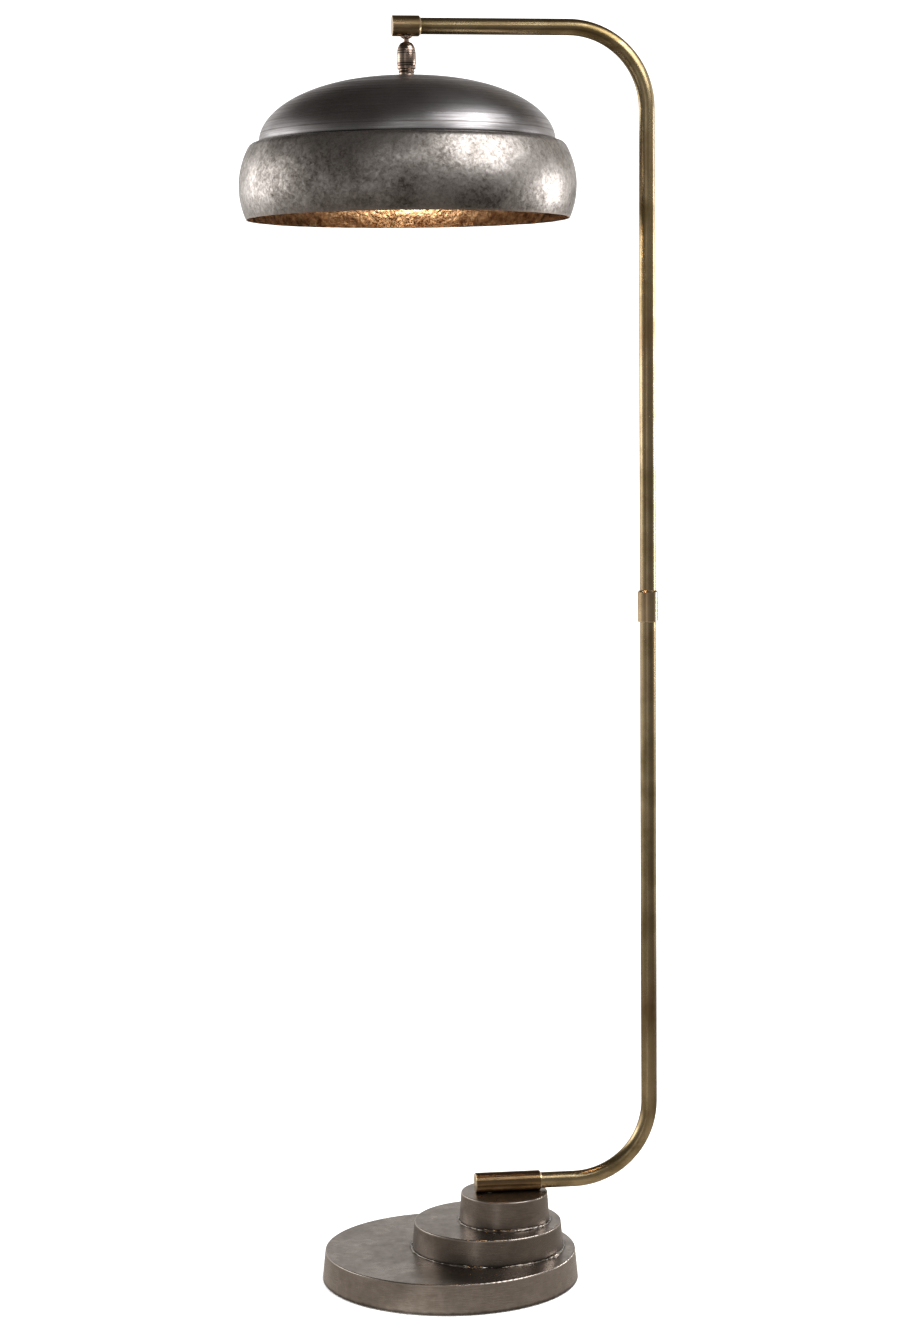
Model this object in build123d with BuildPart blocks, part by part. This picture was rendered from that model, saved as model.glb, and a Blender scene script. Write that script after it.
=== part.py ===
"""Pharmacy floor lamp: three stacked off-centre cast discs, a two-piece bent brass stem joined by a
swivel collar, and a two-part metal shade that hangs from a ball swivel at the end of the arm.

Millimetres. The origin is the centre of the large disc on the floor, +Z is up, +X points from the
discs towards the upright stem, and the shade hangs back over the discs.
"""

import os
from math import asin, cos, degrees, pi, radians, sin

from build123d import *

os.makedirs("parts", exist_ok=True)

# ---------------------------------------------------------------- driving sizes, in mm
# Fits
fixed_gap = 0.05        # each side, between pieces that are screwed, soldered or glued together
running_gap = 0.075     # each side, between pieces that turn on each other

# Cast base: three tapered discs
felt_thick = 1.5
felt_inset = 4.5        # edge of the felt inside the large disc's foot
large_bottom_r = 152.5
large_taper = 3.3       # a disc's radius at its foot less that at its top
large_h = 34.5
middle_bottom_r = 90.5
middle_taper = 3.0
middle_h = 31.3
small_bottom_r = 54.0
small_taper = 2.4
small_h = 34.2
ledge = 13.2            # width of the step left at the stem side, between one disc and the next
disc_edge_round = 1.4
disc_roof = 10.0        # metal over the recess in the large disc
large_wall = 18.5       # at the foot of the wall
upper_disc_roof = 8.0   # the two upper discs are hollow below
upper_disc_wall = 7.0   # at the foot of the wall
cover_seat = 4.0        # width of the step that the cover plate sits in
cover_thick = 2.0

# Fasteners of the base
hex_ratio = 0.9         # corners of a bolt's hexagon socket, as a share of its shank
set_hex_ratio = 0.6     # the same, in a set screw
boss_r = 6.0
boss_inset = 13.0       # middle of a cover boss inside the recess's wall
cover_screw_r = 2.0
cover_screw_head_r = 4.0
cover_screw_len = 12.0
disc_bolt_r = 3.0
disc_bolt_head_r = 5.0
disc_bolt_head_h = 6.0
disc_bolt_grip = 12.0   # length of bolt inside the upper disc
disc_bolt_web = 4.0     # metal left under a bolt head
disc_boss_r = 7.5
bolt_end_room = 1.0     # tapped depth past the end of a bolt
middle_bolt_inset = 28.5    # bolts inside the foot of the disc that they hold
small_bolt_inset = 24.0
ballast_gap = 12.0      # between the ballast and the cover bosses
ballast_thick = 14.0
ballast_screw_r = 3.0
ballast_screw_head_r = 6.0
ballast_screw_circle_r = 72.0
ballast_screw_grip = 7.0
ballast_screw_sink = 1.0    # head below the ballast's underside
ballast_screw_angles = (155, 215, 325)

# Hollow tie that clamps the discs and the sleeve, and leads the wire up
tie_offset = 17.8       # behind the middle of the small disc
tie_r = 5.0
tie_bore_r = 3.0
tie_washer_r = 10.0
tie_washer_thick = 1.5
tie_nut_flats = 15.0
tie_nut_h = 5.0
tie_room_r = 14.0       # hole in the ballast around the nut
tie_boss_r = 9.5
tie_end_rise = 1.0      # end of the tie above the floor of the sleeve's bore

# Wire inlet at the back of the large disc
inlet_height = 9.0      # above the disc's foot
inlet_face_depth = 1.9  # spot face for the grommet, below the disc's largest radius
inlet_bore_r = 3.6
grommet_wall = 1.4
grommet_flange_r = 8.0
grommet_flange_thick = 1.8

# Wiring inside the lamp
lead_r = 1.6
lead_start_y = 120.0
lead_turn_y = 56.0
lead_channel_w = 13.0
lead_plan_bend_r = 40.0
lead_tie_room = 1.0     # straight run between the lead's bend and the mouth of the tie
sleeve_lead_bend_r = 8.0
arm_lead_bend_r = 6.0

# Tubes and sleeves
tube_r = 9.525
tube_wall = 1.25
bend_r = 92.0
pole_x = 242.5
sleeve_wall = 2.475
sleeve_flat = 0.6       # depth of the flat that seats the sleeve on the small disc
sleeve_behind_tie = 17.2
sleeve_len = 79.5
sleeve_end_wall = 5.5
tube_clear_of_tie = 8.3
mouth_chamfer = 2.2
end_break = 0.4         # broken edge at a closed end
set_screw_r = 2.5
set_screw_socket = 1.4

# Swivel collar in the upright
collar_start_z = 781.5
collar_len = 37.5
collar_lower_grip = 14.0
thrust_washer_thick = 1.5
ferrule_barrel = 18.0
ferrule_spigot = 24.0
ferrule_bore_r = 4.5
stop_groove_w = 4.2
stop_groove_depth = 2.0
stop_screw_r = 2.0
stop_tip_r = 1.6
stop_tip_gap = 0.3      # between the screw's tip and the floor of the groove
stop_tip_len = 2.0
stop_travel = 160.0     # degrees each way
stop_slack = 1.0        # degrees past the travel
stop_above_washer = 9.0

# Arm and end block
arm_z = 1472.5
shade_x = -38.2
block_len = 33.0
block_left = 16.5       # from the ball stud's axis to the closed end
block_end_wall = 7.0
block_tube_grip = 8.8
block_spot_face = 0.4
spot_face_gap = 0.4     # round the stud's flange

# Ball swivel
ball_tilt = 20.0        # degrees each way
stud_thread_r = 5.0
stud_thread_len = 5.6
stud_flange_r = 6.6
stud_flange_h = 3.2
stud_flange_rim = 1.4
stud_neck_r = 3.2
stud_neck_gap = 0.234   # from the neck to the cap's lip at full tilt
stud_bore_r = 2.0
ball_r = 8.2
ball_drop = 25.3        # ball centre below the arm's axis
cap_lip_wall = 0.8
cap_belly_wall = 0.925
cap_belly_h = 2.0       # height above the ball's centre at which the cap has its belly
cap_skirt = 5.0
cap_skirt_wall = 0.8
joint_break = 0.35      # broken edges that leave a fine groove between the swivel's pieces
barrel_end_wall = 1.475
barrel_swell = 0.55     # the barrel's radius at its middle, more than at its ends
barrel_h = 16.8
barrel_step = 3.0       # top of the barrel below the ball's centre
barrel_floor = 4.0
seat_h = 6.0
seat_bore_r = 4.5
seat_gap = 0.6          # between the cap's skirt and the seat
spring_thick = 0.8
spring_rise = 1.2
foot_h = 13.0
foot_ring_out = 0.1     # the foot's rings stand out past the barrel's end
foot_ring_h = 3.4
foot_waist_in = 2.1     # depth of the waist inside the rings
foot_waist_start = 4.7  # these three are measured down from the top of the foot
foot_bead_start = 5.5
foot_flare_start = 9.6
foot_bead_h = 2.6
foot_bead_rise = 0.8
foot_lip_h = 0.8
nipple_r = 5.0
nipple_bore_r = 3.0

# Shade
sheet = 1.2
dome_r = 171.0
dome_h = 74.5
dome_flat = 5.3         # width of the flat round the swivel's foot
dome_skirt = 7.0
band_shoulder_out = 9.0     # these three are measured outwards from the dome
band_belly_out = 23.6
band_rim_out = 15.0
band_belly_drop = 53.0
band_h = 87.0
band_shoulder_round = 5.0

# Shade fasteners
shade_washer_inset = 1.0    # inside the dome's flat
shade_washer_thick = 1.5
shade_nut_flats = 15.0
shade_nut_h = 5.0

# Lampholder and switch
holder_gap = 1.6        # from the shade nut to the lampholder
holder_hub_r = 8.5
holder_hub_h = 6.0
holder_r = 17.5
holder_wall = 0.9
holder_cap_h = 13.0
holder_shoulder_in = 2.45   # bulge of the lampholder's cap, inside and below its edge
holder_shoulder_drop = 7.15
holder_lip = 1.0
holder_shell_h = 40.0
liner_wall = 0.8
core_h = 12.0
screw_shell_h = 23.0
screw_shell_gap = 1.55  # between the liner and the screw shell
screw_shell_wall = 0.4
screw_shell_crests = 7
contact_w = 6.0
contact_thick = 0.6
contact_rise = 2.4
switch_drop = 9.0       # switch axis below the lampholder's cap
switch_shaft_r = 1.8
switch_hole_gap = 0.3
switch_shaft_out = 8.0
switch_shaft_in = 6.0
knob_w = 12.0
knob_h = 8.0
knob_thick = 4.2
knob_hub_r = 3.4
knob_hub_len = 5.0
knob_standoff = 2.0     # from the lampholder's side to the knob
knob_edge_round = 0.8

# Bulb
bulb_fit = 0.2          # between the bulb's cap and the screw shell, and its glass and its cap
bulb_cap_h = 24.0
bulb_cap_wall = 0.3
bulb_cap_roof = 0.4
bulb_crests = 6
bulb_thread_depth = 0.6
bulb_tip_r = 4.5
bulb_tip_h = 1.6
bulb_insulator_h = 3.0
bulb_insulator_inset = 2.0
bulb_glass_r = 30.0
bulb_glass_len = 78.0
bulb_globe_arc = 120    # degrees of true circle, from the bottom of the glass upwards
bulb_glass_wall = 1.0
bulb_neck_in = 10.0     # length of glass neck inside the bulb's cap

# ---------------------------------------------------------------- places worked out from the sizes
large_top_z = felt_thick + large_h
middle_top_z = large_top_z + middle_h
small_top_z = middle_top_z + small_h
roof_z = large_top_z - disc_roof
cover_top_z = felt_thick + cover_thick
large_top_r = large_bottom_r - large_taper
middle_top_r = middle_bottom_r - middle_taper
small_top_r = small_bottom_r - small_taper
felt_r = large_bottom_r - felt_inset
recess_r = large_bottom_r - large_wall
cover_r = recess_r + cover_seat
boss_circle_r = recess_r - boss_inset
ballast_r = boss_circle_r - boss_r - ballast_gap
ballast_start_z = roof_z - ballast_thick
inlet_z = felt_thick + inlet_height
inlet_face_y = large_bottom_r - inlet_face_depth
upper_roof_z = middle_top_z - upper_disc_roof
middle_x = large_top_r - ledge - middle_bottom_r
small_x = middle_x + middle_top_r - ledge - small_bottom_r
middle_bolt_circle_r = middle_bottom_r - middle_bolt_inset
small_bolt_offset = small_bottom_r - small_bolt_inset

tube_bore_r = tube_r - tube_wall
sleeve_r = tube_r + sleeve_wall
sleeve_z = small_top_z + sleeve_r - sleeve_flat
tie_x = small_x - tie_offset
tie_nut_z = roof_z - tie_washer_thick - tie_nut_h
tie_end_z = sleeve_z - tube_bore_r + tie_end_rise
sleeve_start_x = tie_x - sleeve_behind_tie
sleeve_end_x = sleeve_start_x + sleeve_len
tube_start_x = tie_x + tie_r + tube_clear_of_tie
sleeve_grip = sleeve_end_x - tube_start_x
sleeve_screw_x = sleeve_end_x - sleeve_grip / 3
tie_lead_bend_r = tie_nut_z - inlet_z - lead_tie_room

collar_joint_z = collar_start_z + collar_lower_grip
ferrule_start_z = collar_joint_z + thrust_washer_thick + fixed_gap
arm_tube_start_z = ferrule_start_z + ferrule_barrel
stop_z = ferrule_start_z + stop_above_washer
stop_half_angle = stop_travel + degrees(asin(stop_tip_r / (tube_r - stop_groove_depth))) + stop_slack

block_start_x = shade_x - block_left
block_end_x = block_start_x + block_len
arm_tube_end_x = block_end_x - block_tube_grip
block_bottom_z = arm_z - sleeve_r + block_spot_face
block_screw_x = block_end_x - block_tube_grip / 2 - mouth_chamfer
stud_flange_z = block_bottom_z - running_gap - stud_flange_h

ball_z = arm_z - ball_drop
socket_r = ball_r + running_gap
cap_lip_angle = radians(ball_tilt) + asin((stud_neck_r + stud_neck_gap) / socket_r)
cap_lip_r = socket_r * sin(cap_lip_angle)
cap_lip_h = socket_r * cos(cap_lip_angle)
cap_belly_r = socket_r + cap_belly_wall
barrel_top_z = ball_z - barrel_step
barrel_end_z = barrel_top_z - barrel_h
barrel_floor_z = barrel_end_z + barrel_floor
barrel_bore_r = socket_r + cap_skirt_wall + fixed_gap
barrel_end_r = barrel_bore_r + barrel_end_wall
barrel_r = barrel_end_r + barrel_swell
foot_ring_r = barrel_end_r + foot_ring_out
foot_waist_r = foot_ring_r - foot_waist_in
foot_bead_r = foot_waist_r + foot_bead_rise
dome_flat_r = foot_ring_r + dome_flat
shade_washer_r = dome_flat_r - shade_washer_inset
seat_top_z = ball_z - cap_skirt - seat_gap
seat_start_z = seat_top_z - seat_h
dome_top_z = barrel_end_z - foot_h
seam_z = dome_top_z - dome_h
rim_z = seam_z - band_h
band_shoulder_r = dome_r + band_shoulder_out
band_belly_r = dome_r + band_belly_out
band_rim_r = dome_r + band_rim_out

shade_nut_z = dome_top_z - sheet - shade_washer_thick - shade_nut_h
holder_top_z = shade_nut_z - holder_gap
holder_shell_z = holder_top_z - holder_cap_h
holder_end_z = holder_shell_z - holder_shell_h
holder_bore_r = holder_r - holder_wall
liner_r = holder_bore_r - fixed_gap
core_r = liner_r - liner_wall - fixed_gap
screw_shell_r = liner_r - liner_wall - screw_shell_gap
bulb_cap_r = screw_shell_r - 2.5 * screw_shell_wall - bulb_fit
bulb_thread_r = bulb_cap_r - bulb_thread_depth
bulb_neck_r = bulb_thread_r - bulb_cap_wall - bulb_fit
core_end_z = holder_shell_z - core_h
switch_z = holder_shell_z - switch_drop
nipple_end_z = holder_top_z - holder_hub_h
bulb_top_z = core_end_z - contact_rise - contact_thick - fixed_gap
bulb_cap_top_z = bulb_top_z - bulb_tip_h - bulb_insulator_h
bulb_cap_end_z = bulb_cap_top_z - bulb_cap_h

bottom = (Align.CENTER, Align.CENTER, Align.MIN)
top = (Align.CENTER, Align.CENTER, Align.MAX)
pole_axis = Axis((pole_x, 0, 0), (0, 0, 1))
shade_axis = Axis((shade_x, 0, 0), (0, 0, 1))


def section(x):
    """Upright plane through the vertical axis at x: its X is the radius and its Y is the height."""
    return Plane(origin=(x, 0, 0), x_dir=(1, 0, 0), z_dir=(0, -1, 0))


def level(x, z):
    """Flat plane at height z, with its origin over x."""
    return Plane(origin=(x, 0, z))


def along_x(x, z):
    """Upright plane square to the arm, facing +X."""
    return Plane(origin=(x, 0, z), x_dir=(0, 1, 0), z_dir=(1, 0, 0))


def facing_back(x, y, z):
    """Upright plane facing +Y, the lamp's back."""
    return Plane(origin=(x, y, z), x_dir=(-1, 0, 0), z_dir=(0, 1, 0))


def write(name, piece):
    """Labels a finished piece and writes it as parts/name.step."""
    piece.part.label = name
    export_step(piece.part, f"parts/{name}.step")


def disc_profile(bottom_r, top_r, z0, z1):
    """Half section of a tapered disc with a rounded top edge, from its axis outwards."""
    with BuildSketch(Plane.XY) as profile:
        with BuildLine():
            Polyline((0, z0), (bottom_r, z0), (top_r, z1), (0, z1), close=True)
        make_face()
        fillet(profile.vertices().filter_by_position(Axis.Y, z1, z1).sort_by(Axis.X)[-1], disc_edge_round)
    return profile.sketch


def ring(inner_r, outer_r, z0, z1):
    """Half section of a plain ring."""
    with BuildSketch(Plane.XY) as profile:
        with BuildLine():
            Polyline((inner_r, z0), (outer_r, z0), (outer_r, z1), (inner_r, z1), close=True)
        make_face()
    return profile.sketch


# ---------------------------------------------------------------- cast base
middle_bolt_places = [
    (middle_x + middle_bolt_circle_r * cos(radians(a)), middle_bolt_circle_r * sin(radians(a)))
    for a in (90, 210, 330)
]
small_bolt_places = [(small_x, small_bolt_offset), (small_x, -small_bolt_offset)]
ballast_screw_places = [
    (ballast_screw_circle_r * cos(radians(a)), ballast_screw_circle_r * sin(radians(a)))
    for a in ballast_screw_angles
]

with BuildPart() as base_disc_large:
    with BuildSketch(Plane.XZ):
        add(disc_profile(large_bottom_r, large_top_r, felt_thick, large_top_z))
    revolve(axis=Axis.Z)
    # Recess for the ballast, with a seat for the cover plate
    with BuildSketch(Plane.XY.offset(felt_thick)):
        Circle(cover_r + fixed_gap)
    extrude(amount=cover_thick, mode=Mode.SUBTRACT)
    with BuildSketch(Plane.XY.offset(cover_top_z)):
        Circle(recess_r)
    extrude(amount=roof_z - cover_top_z, mode=Mode.SUBTRACT)
    # Bosses that the cover is screwed to
    with BuildSketch(Plane.XY.offset(cover_top_z)):
        with PolarLocations(boss_circle_r, 4, start_angle=45):
            Circle(boss_r)
            Circle(cover_screw_r + fixed_gap, mode=Mode.SUBTRACT)
    extrude(amount=roof_z - cover_top_z)
    # Hole for the tie
    with BuildSketch(Plane.XY.offset(roof_z)):
        with Locations((tie_x, 0)):
            Circle(tie_r + fixed_gap)
        with Locations(*middle_bolt_places):
            Circle(disc_bolt_r + fixed_gap)
    extrude(amount=disc_roof, mode=Mode.SUBTRACT)
    # Sunk heads of the bolts that hold the middle disc
    with BuildSketch(Plane.XY.offset(roof_z)):
        with Locations(*middle_bolt_places):
            Circle(disc_bolt_head_r + fixed_gap)
    extrude(amount=disc_roof - disc_bolt_web, mode=Mode.SUBTRACT)
    # Blind holes for the ballast's screws
    with BuildSketch(Plane.XY.offset(roof_z)):
        with Locations(*ballast_screw_places):
            Circle(ballast_screw_r + fixed_gap)
    extrude(amount=ballast_screw_grip + fixed_gap, mode=Mode.SUBTRACT)
    # Inlet hole through the back wall
    with BuildSketch(facing_back(0, recess_r - boss_r, inlet_z)):
        Circle(inlet_bore_r + grommet_wall + fixed_gap)
    extrude(amount=large_bottom_r - recess_r + 2 * boss_r, mode=Mode.SUBTRACT)
    with BuildSketch(facing_back(0, inlet_face_y, inlet_z)):
        Circle(grommet_flange_r + fixed_gap)
    extrude(amount=2 * inlet_face_depth, mode=Mode.SUBTRACT)
write("base_disc_large", base_disc_large)

with BuildPart() as base_disc_middle:
    with BuildSketch(section(middle_x)):
        add(disc_profile(middle_bottom_r, middle_top_r, large_top_z, middle_top_z))
    revolve(axis=Axis((middle_x, 0, 0), (0, 0, 1)))
    # Hollow underside, with bosses for the bolts from below and for the tie
    with BuildSketch(level(middle_x, large_top_z)):
        Circle(middle_bottom_r - upper_disc_wall)
    extrude(amount=middle_h - upper_disc_roof, mode=Mode.SUBTRACT)
    with BuildSketch(Plane.XY.offset(large_top_z)):
        with Locations(*middle_bolt_places):
            Circle(disc_boss_r)
        with Locations((tie_x, 0)):
            Circle(tie_boss_r)
    extrude(amount=middle_h - upper_disc_roof)
    with BuildSketch(Plane.XY.offset(large_top_z)):
        with Locations((tie_x, 0)):
            Circle(tie_r + fixed_gap)
        with Locations(*small_bolt_places):
            Circle(disc_bolt_r + fixed_gap)
    extrude(amount=middle_h, mode=Mode.SUBTRACT)
    with BuildSketch(Plane.XY.offset(large_top_z)):
        with Locations(*middle_bolt_places):
            Circle(disc_bolt_r + fixed_gap)
    extrude(amount=disc_bolt_grip + bolt_end_room, mode=Mode.SUBTRACT)
write("base_disc_middle", base_disc_middle)

with BuildPart() as base_disc_small:
    with BuildSketch(section(small_x)):
        add(disc_profile(small_bottom_r, small_top_r, middle_top_z, small_top_z))
    revolve(axis=Axis((small_x, 0, 0), (0, 0, 1)))
    with BuildSketch(level(small_x, middle_top_z)):
        Circle(small_bottom_r - upper_disc_wall)
    extrude(amount=small_h - upper_disc_roof, mode=Mode.SUBTRACT)
    with BuildSketch(Plane.XY.offset(middle_top_z)):
        with Locations(*small_bolt_places):
            Circle(disc_boss_r)
        with Locations((tie_x, 0)):
            Circle(tie_boss_r)
    extrude(amount=small_h - upper_disc_roof)
    with BuildSketch(Plane.XY.offset(middle_top_z)):
        with Locations((tie_x, 0)):
            Circle(tie_r + fixed_gap)
    extrude(amount=small_h, mode=Mode.SUBTRACT)
    with BuildSketch(Plane.XY.offset(middle_top_z)):
        with Locations(*small_bolt_places):
            Circle(disc_bolt_r + fixed_gap)
    extrude(amount=disc_bolt_grip + bolt_end_room, mode=Mode.SUBTRACT)
write("base_disc_small", base_disc_small)


def socket_head_bolts(places, head_z, shank_len):
    """Upright socket head bolts, heads down, with the underside of each head at head_z."""
    with BuildPart() as bolts:
        with Locations(*[(x, y, head_z) for x, y in places]):
            Cylinder(disc_bolt_head_r, disc_bolt_head_h, align=top)
            Cylinder(disc_bolt_r, shank_len, align=bottom)
        with BuildSketch(Plane.XY.offset(head_z - disc_bolt_head_h)):
            with Locations(*places):
                RegularPolygon(disc_bolt_r * hex_ratio, 6)
        extrude(amount=disc_bolt_head_h / 2, mode=Mode.SUBTRACT)
    return bolts


middle_disc_bolts = socket_head_bolts(
    middle_bolt_places, large_top_z - disc_bolt_web, disc_bolt_web + disc_bolt_grip
)
write("middle_disc_bolts", middle_disc_bolts)

small_disc_bolts = socket_head_bolts(
    small_bolt_places, upper_roof_z, upper_disc_roof + disc_bolt_grip
)
write("small_disc_bolts", small_disc_bolts)

with BuildPart() as ballast_plate:
    with BuildSketch(Plane.XY.offset(ballast_start_z)):
        Circle(ballast_r)
        with Locations((tie_x, 0)):
            Circle(tie_room_r, mode=Mode.SUBTRACT)
        with Locations(*ballast_screw_places):
            Circle(ballast_screw_r + fixed_gap, mode=Mode.SUBTRACT)
    extrude(amount=ballast_thick)
    # Channel for the wire, from the back edge to the tie
    with BuildSketch(Plane.XY.offset(ballast_start_z)):
        with BuildLine():
            Polyline((0, ballast_r + lead_channel_w), (0, lead_turn_y), (tie_x, 0))
        trace(line_width=lead_channel_w)
    extrude(amount=ballast_thick, mode=Mode.SUBTRACT)
    # Sunk heads of its screws
    with BuildSketch(Plane.XY.offset(ballast_start_z)):
        with Locations(*ballast_screw_places):
            Circle(ballast_screw_head_r + fixed_gap)
    extrude(amount=disc_bolt_head_h, mode=Mode.SUBTRACT)
write("ballast_plate", ballast_plate)

with BuildPart() as ballast_screws:
    with Locations(*[(x, y, ballast_start_z + disc_bolt_head_h) for x, y in ballast_screw_places]):
        Cylinder(ballast_screw_head_r, disc_bolt_head_h - ballast_screw_sink, align=top)
        Cylinder(
            ballast_screw_r,
            ballast_thick - disc_bolt_head_h + ballast_screw_grip,
            align=bottom,
        )
    with BuildSketch(Plane.XY.offset(ballast_start_z + ballast_screw_sink)):
        with Locations(*ballast_screw_places):
            RegularPolygon(ballast_screw_r * hex_ratio, 6)
    extrude(amount=disc_bolt_head_h / 2, mode=Mode.SUBTRACT)
write("ballast_screws", ballast_screws)

with BuildPart() as bottom_cover:
    with BuildSketch(Plane.XY.offset(felt_thick)):
        Circle(cover_r)
        with PolarLocations(boss_circle_r, 4, start_angle=45):
            Circle(cover_screw_r + fixed_gap, mode=Mode.SUBTRACT)
    extrude(amount=cover_thick)
    # Countersinks that take the screw heads flush
    with BuildSketch(Plane.XY.offset(felt_thick)):
        with PolarLocations(boss_circle_r, 4, start_angle=45):
            Circle(cover_screw_head_r + fixed_gap)
    extrude(amount=cover_thick / 2, mode=Mode.SUBTRACT)
write("bottom_cover", bottom_cover)

with BuildPart() as cover_screws:
    with PolarLocations(boss_circle_r, 4, start_angle=45):
        with Locations((0, 0, felt_thick)):
            Cylinder(cover_screw_head_r, cover_thick / 2, align=bottom)
            Cylinder(cover_screw_r, cover_screw_len, align=bottom)
write("cover_screws", cover_screws)

with BuildPart() as felt_pad:
    with BuildSketch(Plane.XY):
        Circle(felt_r)
    extrude(amount=felt_thick)
write("felt_pad", felt_pad)

with BuildPart() as inlet_grommet:
    # A sleeve through the wall, with a flange against the outside
    with BuildSketch(facing_back(0, recess_r, inlet_z)):
        Circle(inlet_bore_r + grommet_wall)
    extrude(amount=inlet_face_y - recess_r)
    with BuildSketch(facing_back(0, inlet_face_y, inlet_z)):
        Circle(grommet_flange_r)
    extrude(amount=grommet_flange_thick)
    fillet(inlet_grommet.edges().filter_by(GeomType.CIRCLE).group_by(Axis.Y)[-1], grommet_flange_thick / 3)
    with BuildSketch(facing_back(0, recess_r, inlet_z)):
        Circle(inlet_bore_r)
    extrude(amount=inlet_face_y - recess_r + grommet_flange_thick, mode=Mode.SUBTRACT)
write("inlet_grommet", inlet_grommet)

# ---------------------------------------------------------------- tie, sleeve and lower tube
with BuildPart() as tie_tube:
    with BuildSketch(level(tie_x, tie_nut_z)):
        Circle(tie_r)
        Circle(tie_bore_r, mode=Mode.SUBTRACT)
    extrude(amount=tie_end_z - tie_nut_z)
write("tie_tube", tie_tube)

with BuildPart() as tie_nut:
    with BuildSketch(level(tie_x, tie_nut_z)):
        RegularPolygon(tie_nut_flats / 2, 6, major_radius=False)
        Circle(tie_r + fixed_gap, mode=Mode.SUBTRACT)
    extrude(amount=tie_nut_h)
write("tie_nut", tie_nut)

with BuildPart() as tie_washer:
    with BuildSketch(level(tie_x, roof_z - tie_washer_thick)):
        Circle(tie_washer_r)
        Circle(tie_r + fixed_gap, mode=Mode.SUBTRACT)
    extrude(amount=tie_washer_thick)
write("tie_washer", tie_washer)

with BuildPart() as base_sleeve:
    with BuildSketch(along_x(sleeve_start_x, sleeve_z)):
        Circle(sleeve_r)
    extrude(amount=sleeve_len)
    chamfer(base_sleeve.edges().group_by(Axis.X)[-1], mouth_chamfer)
    chamfer(base_sleeve.edges().group_by(Axis.X)[0], end_break)
    with BuildSketch(along_x(tube_start_x, sleeve_z)):
        Circle(tube_r + fixed_gap)
    extrude(amount=sleeve_grip, mode=Mode.SUBTRACT)
    with BuildSketch(along_x(sleeve_start_x + sleeve_end_wall, sleeve_z)):
        Circle(tube_bore_r)
    extrude(amount=sleeve_len - sleeve_grip - sleeve_end_wall, mode=Mode.SUBTRACT)
    # Flat that seats on the small disc, and the hole for the tie
    with Locations((sleeve_start_x + sleeve_len / 2, 0, small_top_z)):
        Box(sleeve_len, 2 * sleeve_r, sleeve_r, align=top, mode=Mode.SUBTRACT)
    with BuildSketch(level(tie_x, small_top_z)):
        Circle(tie_r + fixed_gap)
    extrude(amount=sleeve_r, mode=Mode.SUBTRACT)
    with BuildSketch(facing_back(sleeve_screw_x, 0, sleeve_z)):
        Circle(set_screw_r + fixed_gap)
    extrude(amount=sleeve_r, mode=Mode.SUBTRACT)
write("base_sleeve", base_sleeve)


def set_screw(x, z, radius, tip_y, head_y):
    """Socket set screw that points forwards from the back of a sleeve."""
    with BuildPart() as screw:
        with BuildSketch(facing_back(x, tip_y, z)):
            Circle(radius)
        extrude(amount=head_y - tip_y)
        with BuildSketch(facing_back(x, head_y - set_screw_socket, z)):
            RegularPolygon(radius * set_hex_ratio, 6)
        extrude(amount=set_screw_socket, mode=Mode.SUBTRACT)
    return screw


sleeve_set_screw = set_screw(
    sleeve_screw_x, sleeve_z, set_screw_r, tube_r + fixed_gap, sleeve_r - end_break
)
write("sleeve_set_screw", sleeve_set_screw)

with BuildPart() as lower_tube:
    with BuildLine(Plane.XZ):
        FilletPolyline(
            (tube_start_x, sleeve_z), (pole_x, sleeve_z), (pole_x, collar_joint_z), radius=bend_r
        )
    with BuildSketch(along_x(tube_start_x, sleeve_z)):
        Circle(tube_r)
        Circle(tube_bore_r, mode=Mode.SUBTRACT)
    sweep()
write("lower_tube", lower_tube)

# ---------------------------------------------------------------- swivel collar
with BuildPart() as swivel_collar:
    with BuildSketch(level(pole_x, collar_start_z)):
        Circle(sleeve_r + fixed_gap)
    extrude(amount=collar_len)
    chamfer(swivel_collar.edges().group_by(Axis.Z)[-1], mouth_chamfer)
    chamfer(swivel_collar.edges().group_by(Axis.Z)[0], end_break)
    with BuildSketch(level(pole_x, collar_start_z)):
        Circle(tube_r + fixed_gap)
    extrude(amount=collar_lower_grip, mode=Mode.SUBTRACT)
    with BuildSketch(level(pole_x, collar_joint_z)):
        Circle(tube_r + running_gap)
    extrude(amount=collar_len - collar_lower_grip, mode=Mode.SUBTRACT)
    with BuildSketch(facing_back(pole_x, 0, stop_z)):
        Circle(stop_screw_r + fixed_gap)
    extrude(amount=sleeve_r + 1, mode=Mode.SUBTRACT)
write("swivel_collar", swivel_collar)

with BuildPart() as thrust_washer:
    with BuildSketch(level(pole_x, collar_joint_z)):
        Circle(tube_r)
        Circle(tube_bore_r - tube_wall, mode=Mode.SUBTRACT)
    extrude(amount=thrust_washer_thick)
write("thrust_washer", thrust_washer)

with BuildPart() as stop_screw:
    with BuildSketch(facing_back(pole_x, tube_r + running_gap, stop_z)):
        Circle(stop_screw_r)
    extrude(amount=sleeve_r - tube_r - running_gap - end_break)
    with BuildSketch(facing_back(pole_x, tube_r - stop_groove_depth + stop_tip_gap, stop_z)):
        Circle(stop_tip_r)
    extrude(amount=stop_tip_len)
    with BuildSketch(facing_back(pole_x, sleeve_r - end_break - set_screw_socket, stop_z)):
        RegularPolygon(stop_screw_r * set_hex_ratio, 6)
    extrude(amount=set_screw_socket, mode=Mode.SUBTRACT)
write("stop_screw", stop_screw)

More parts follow.
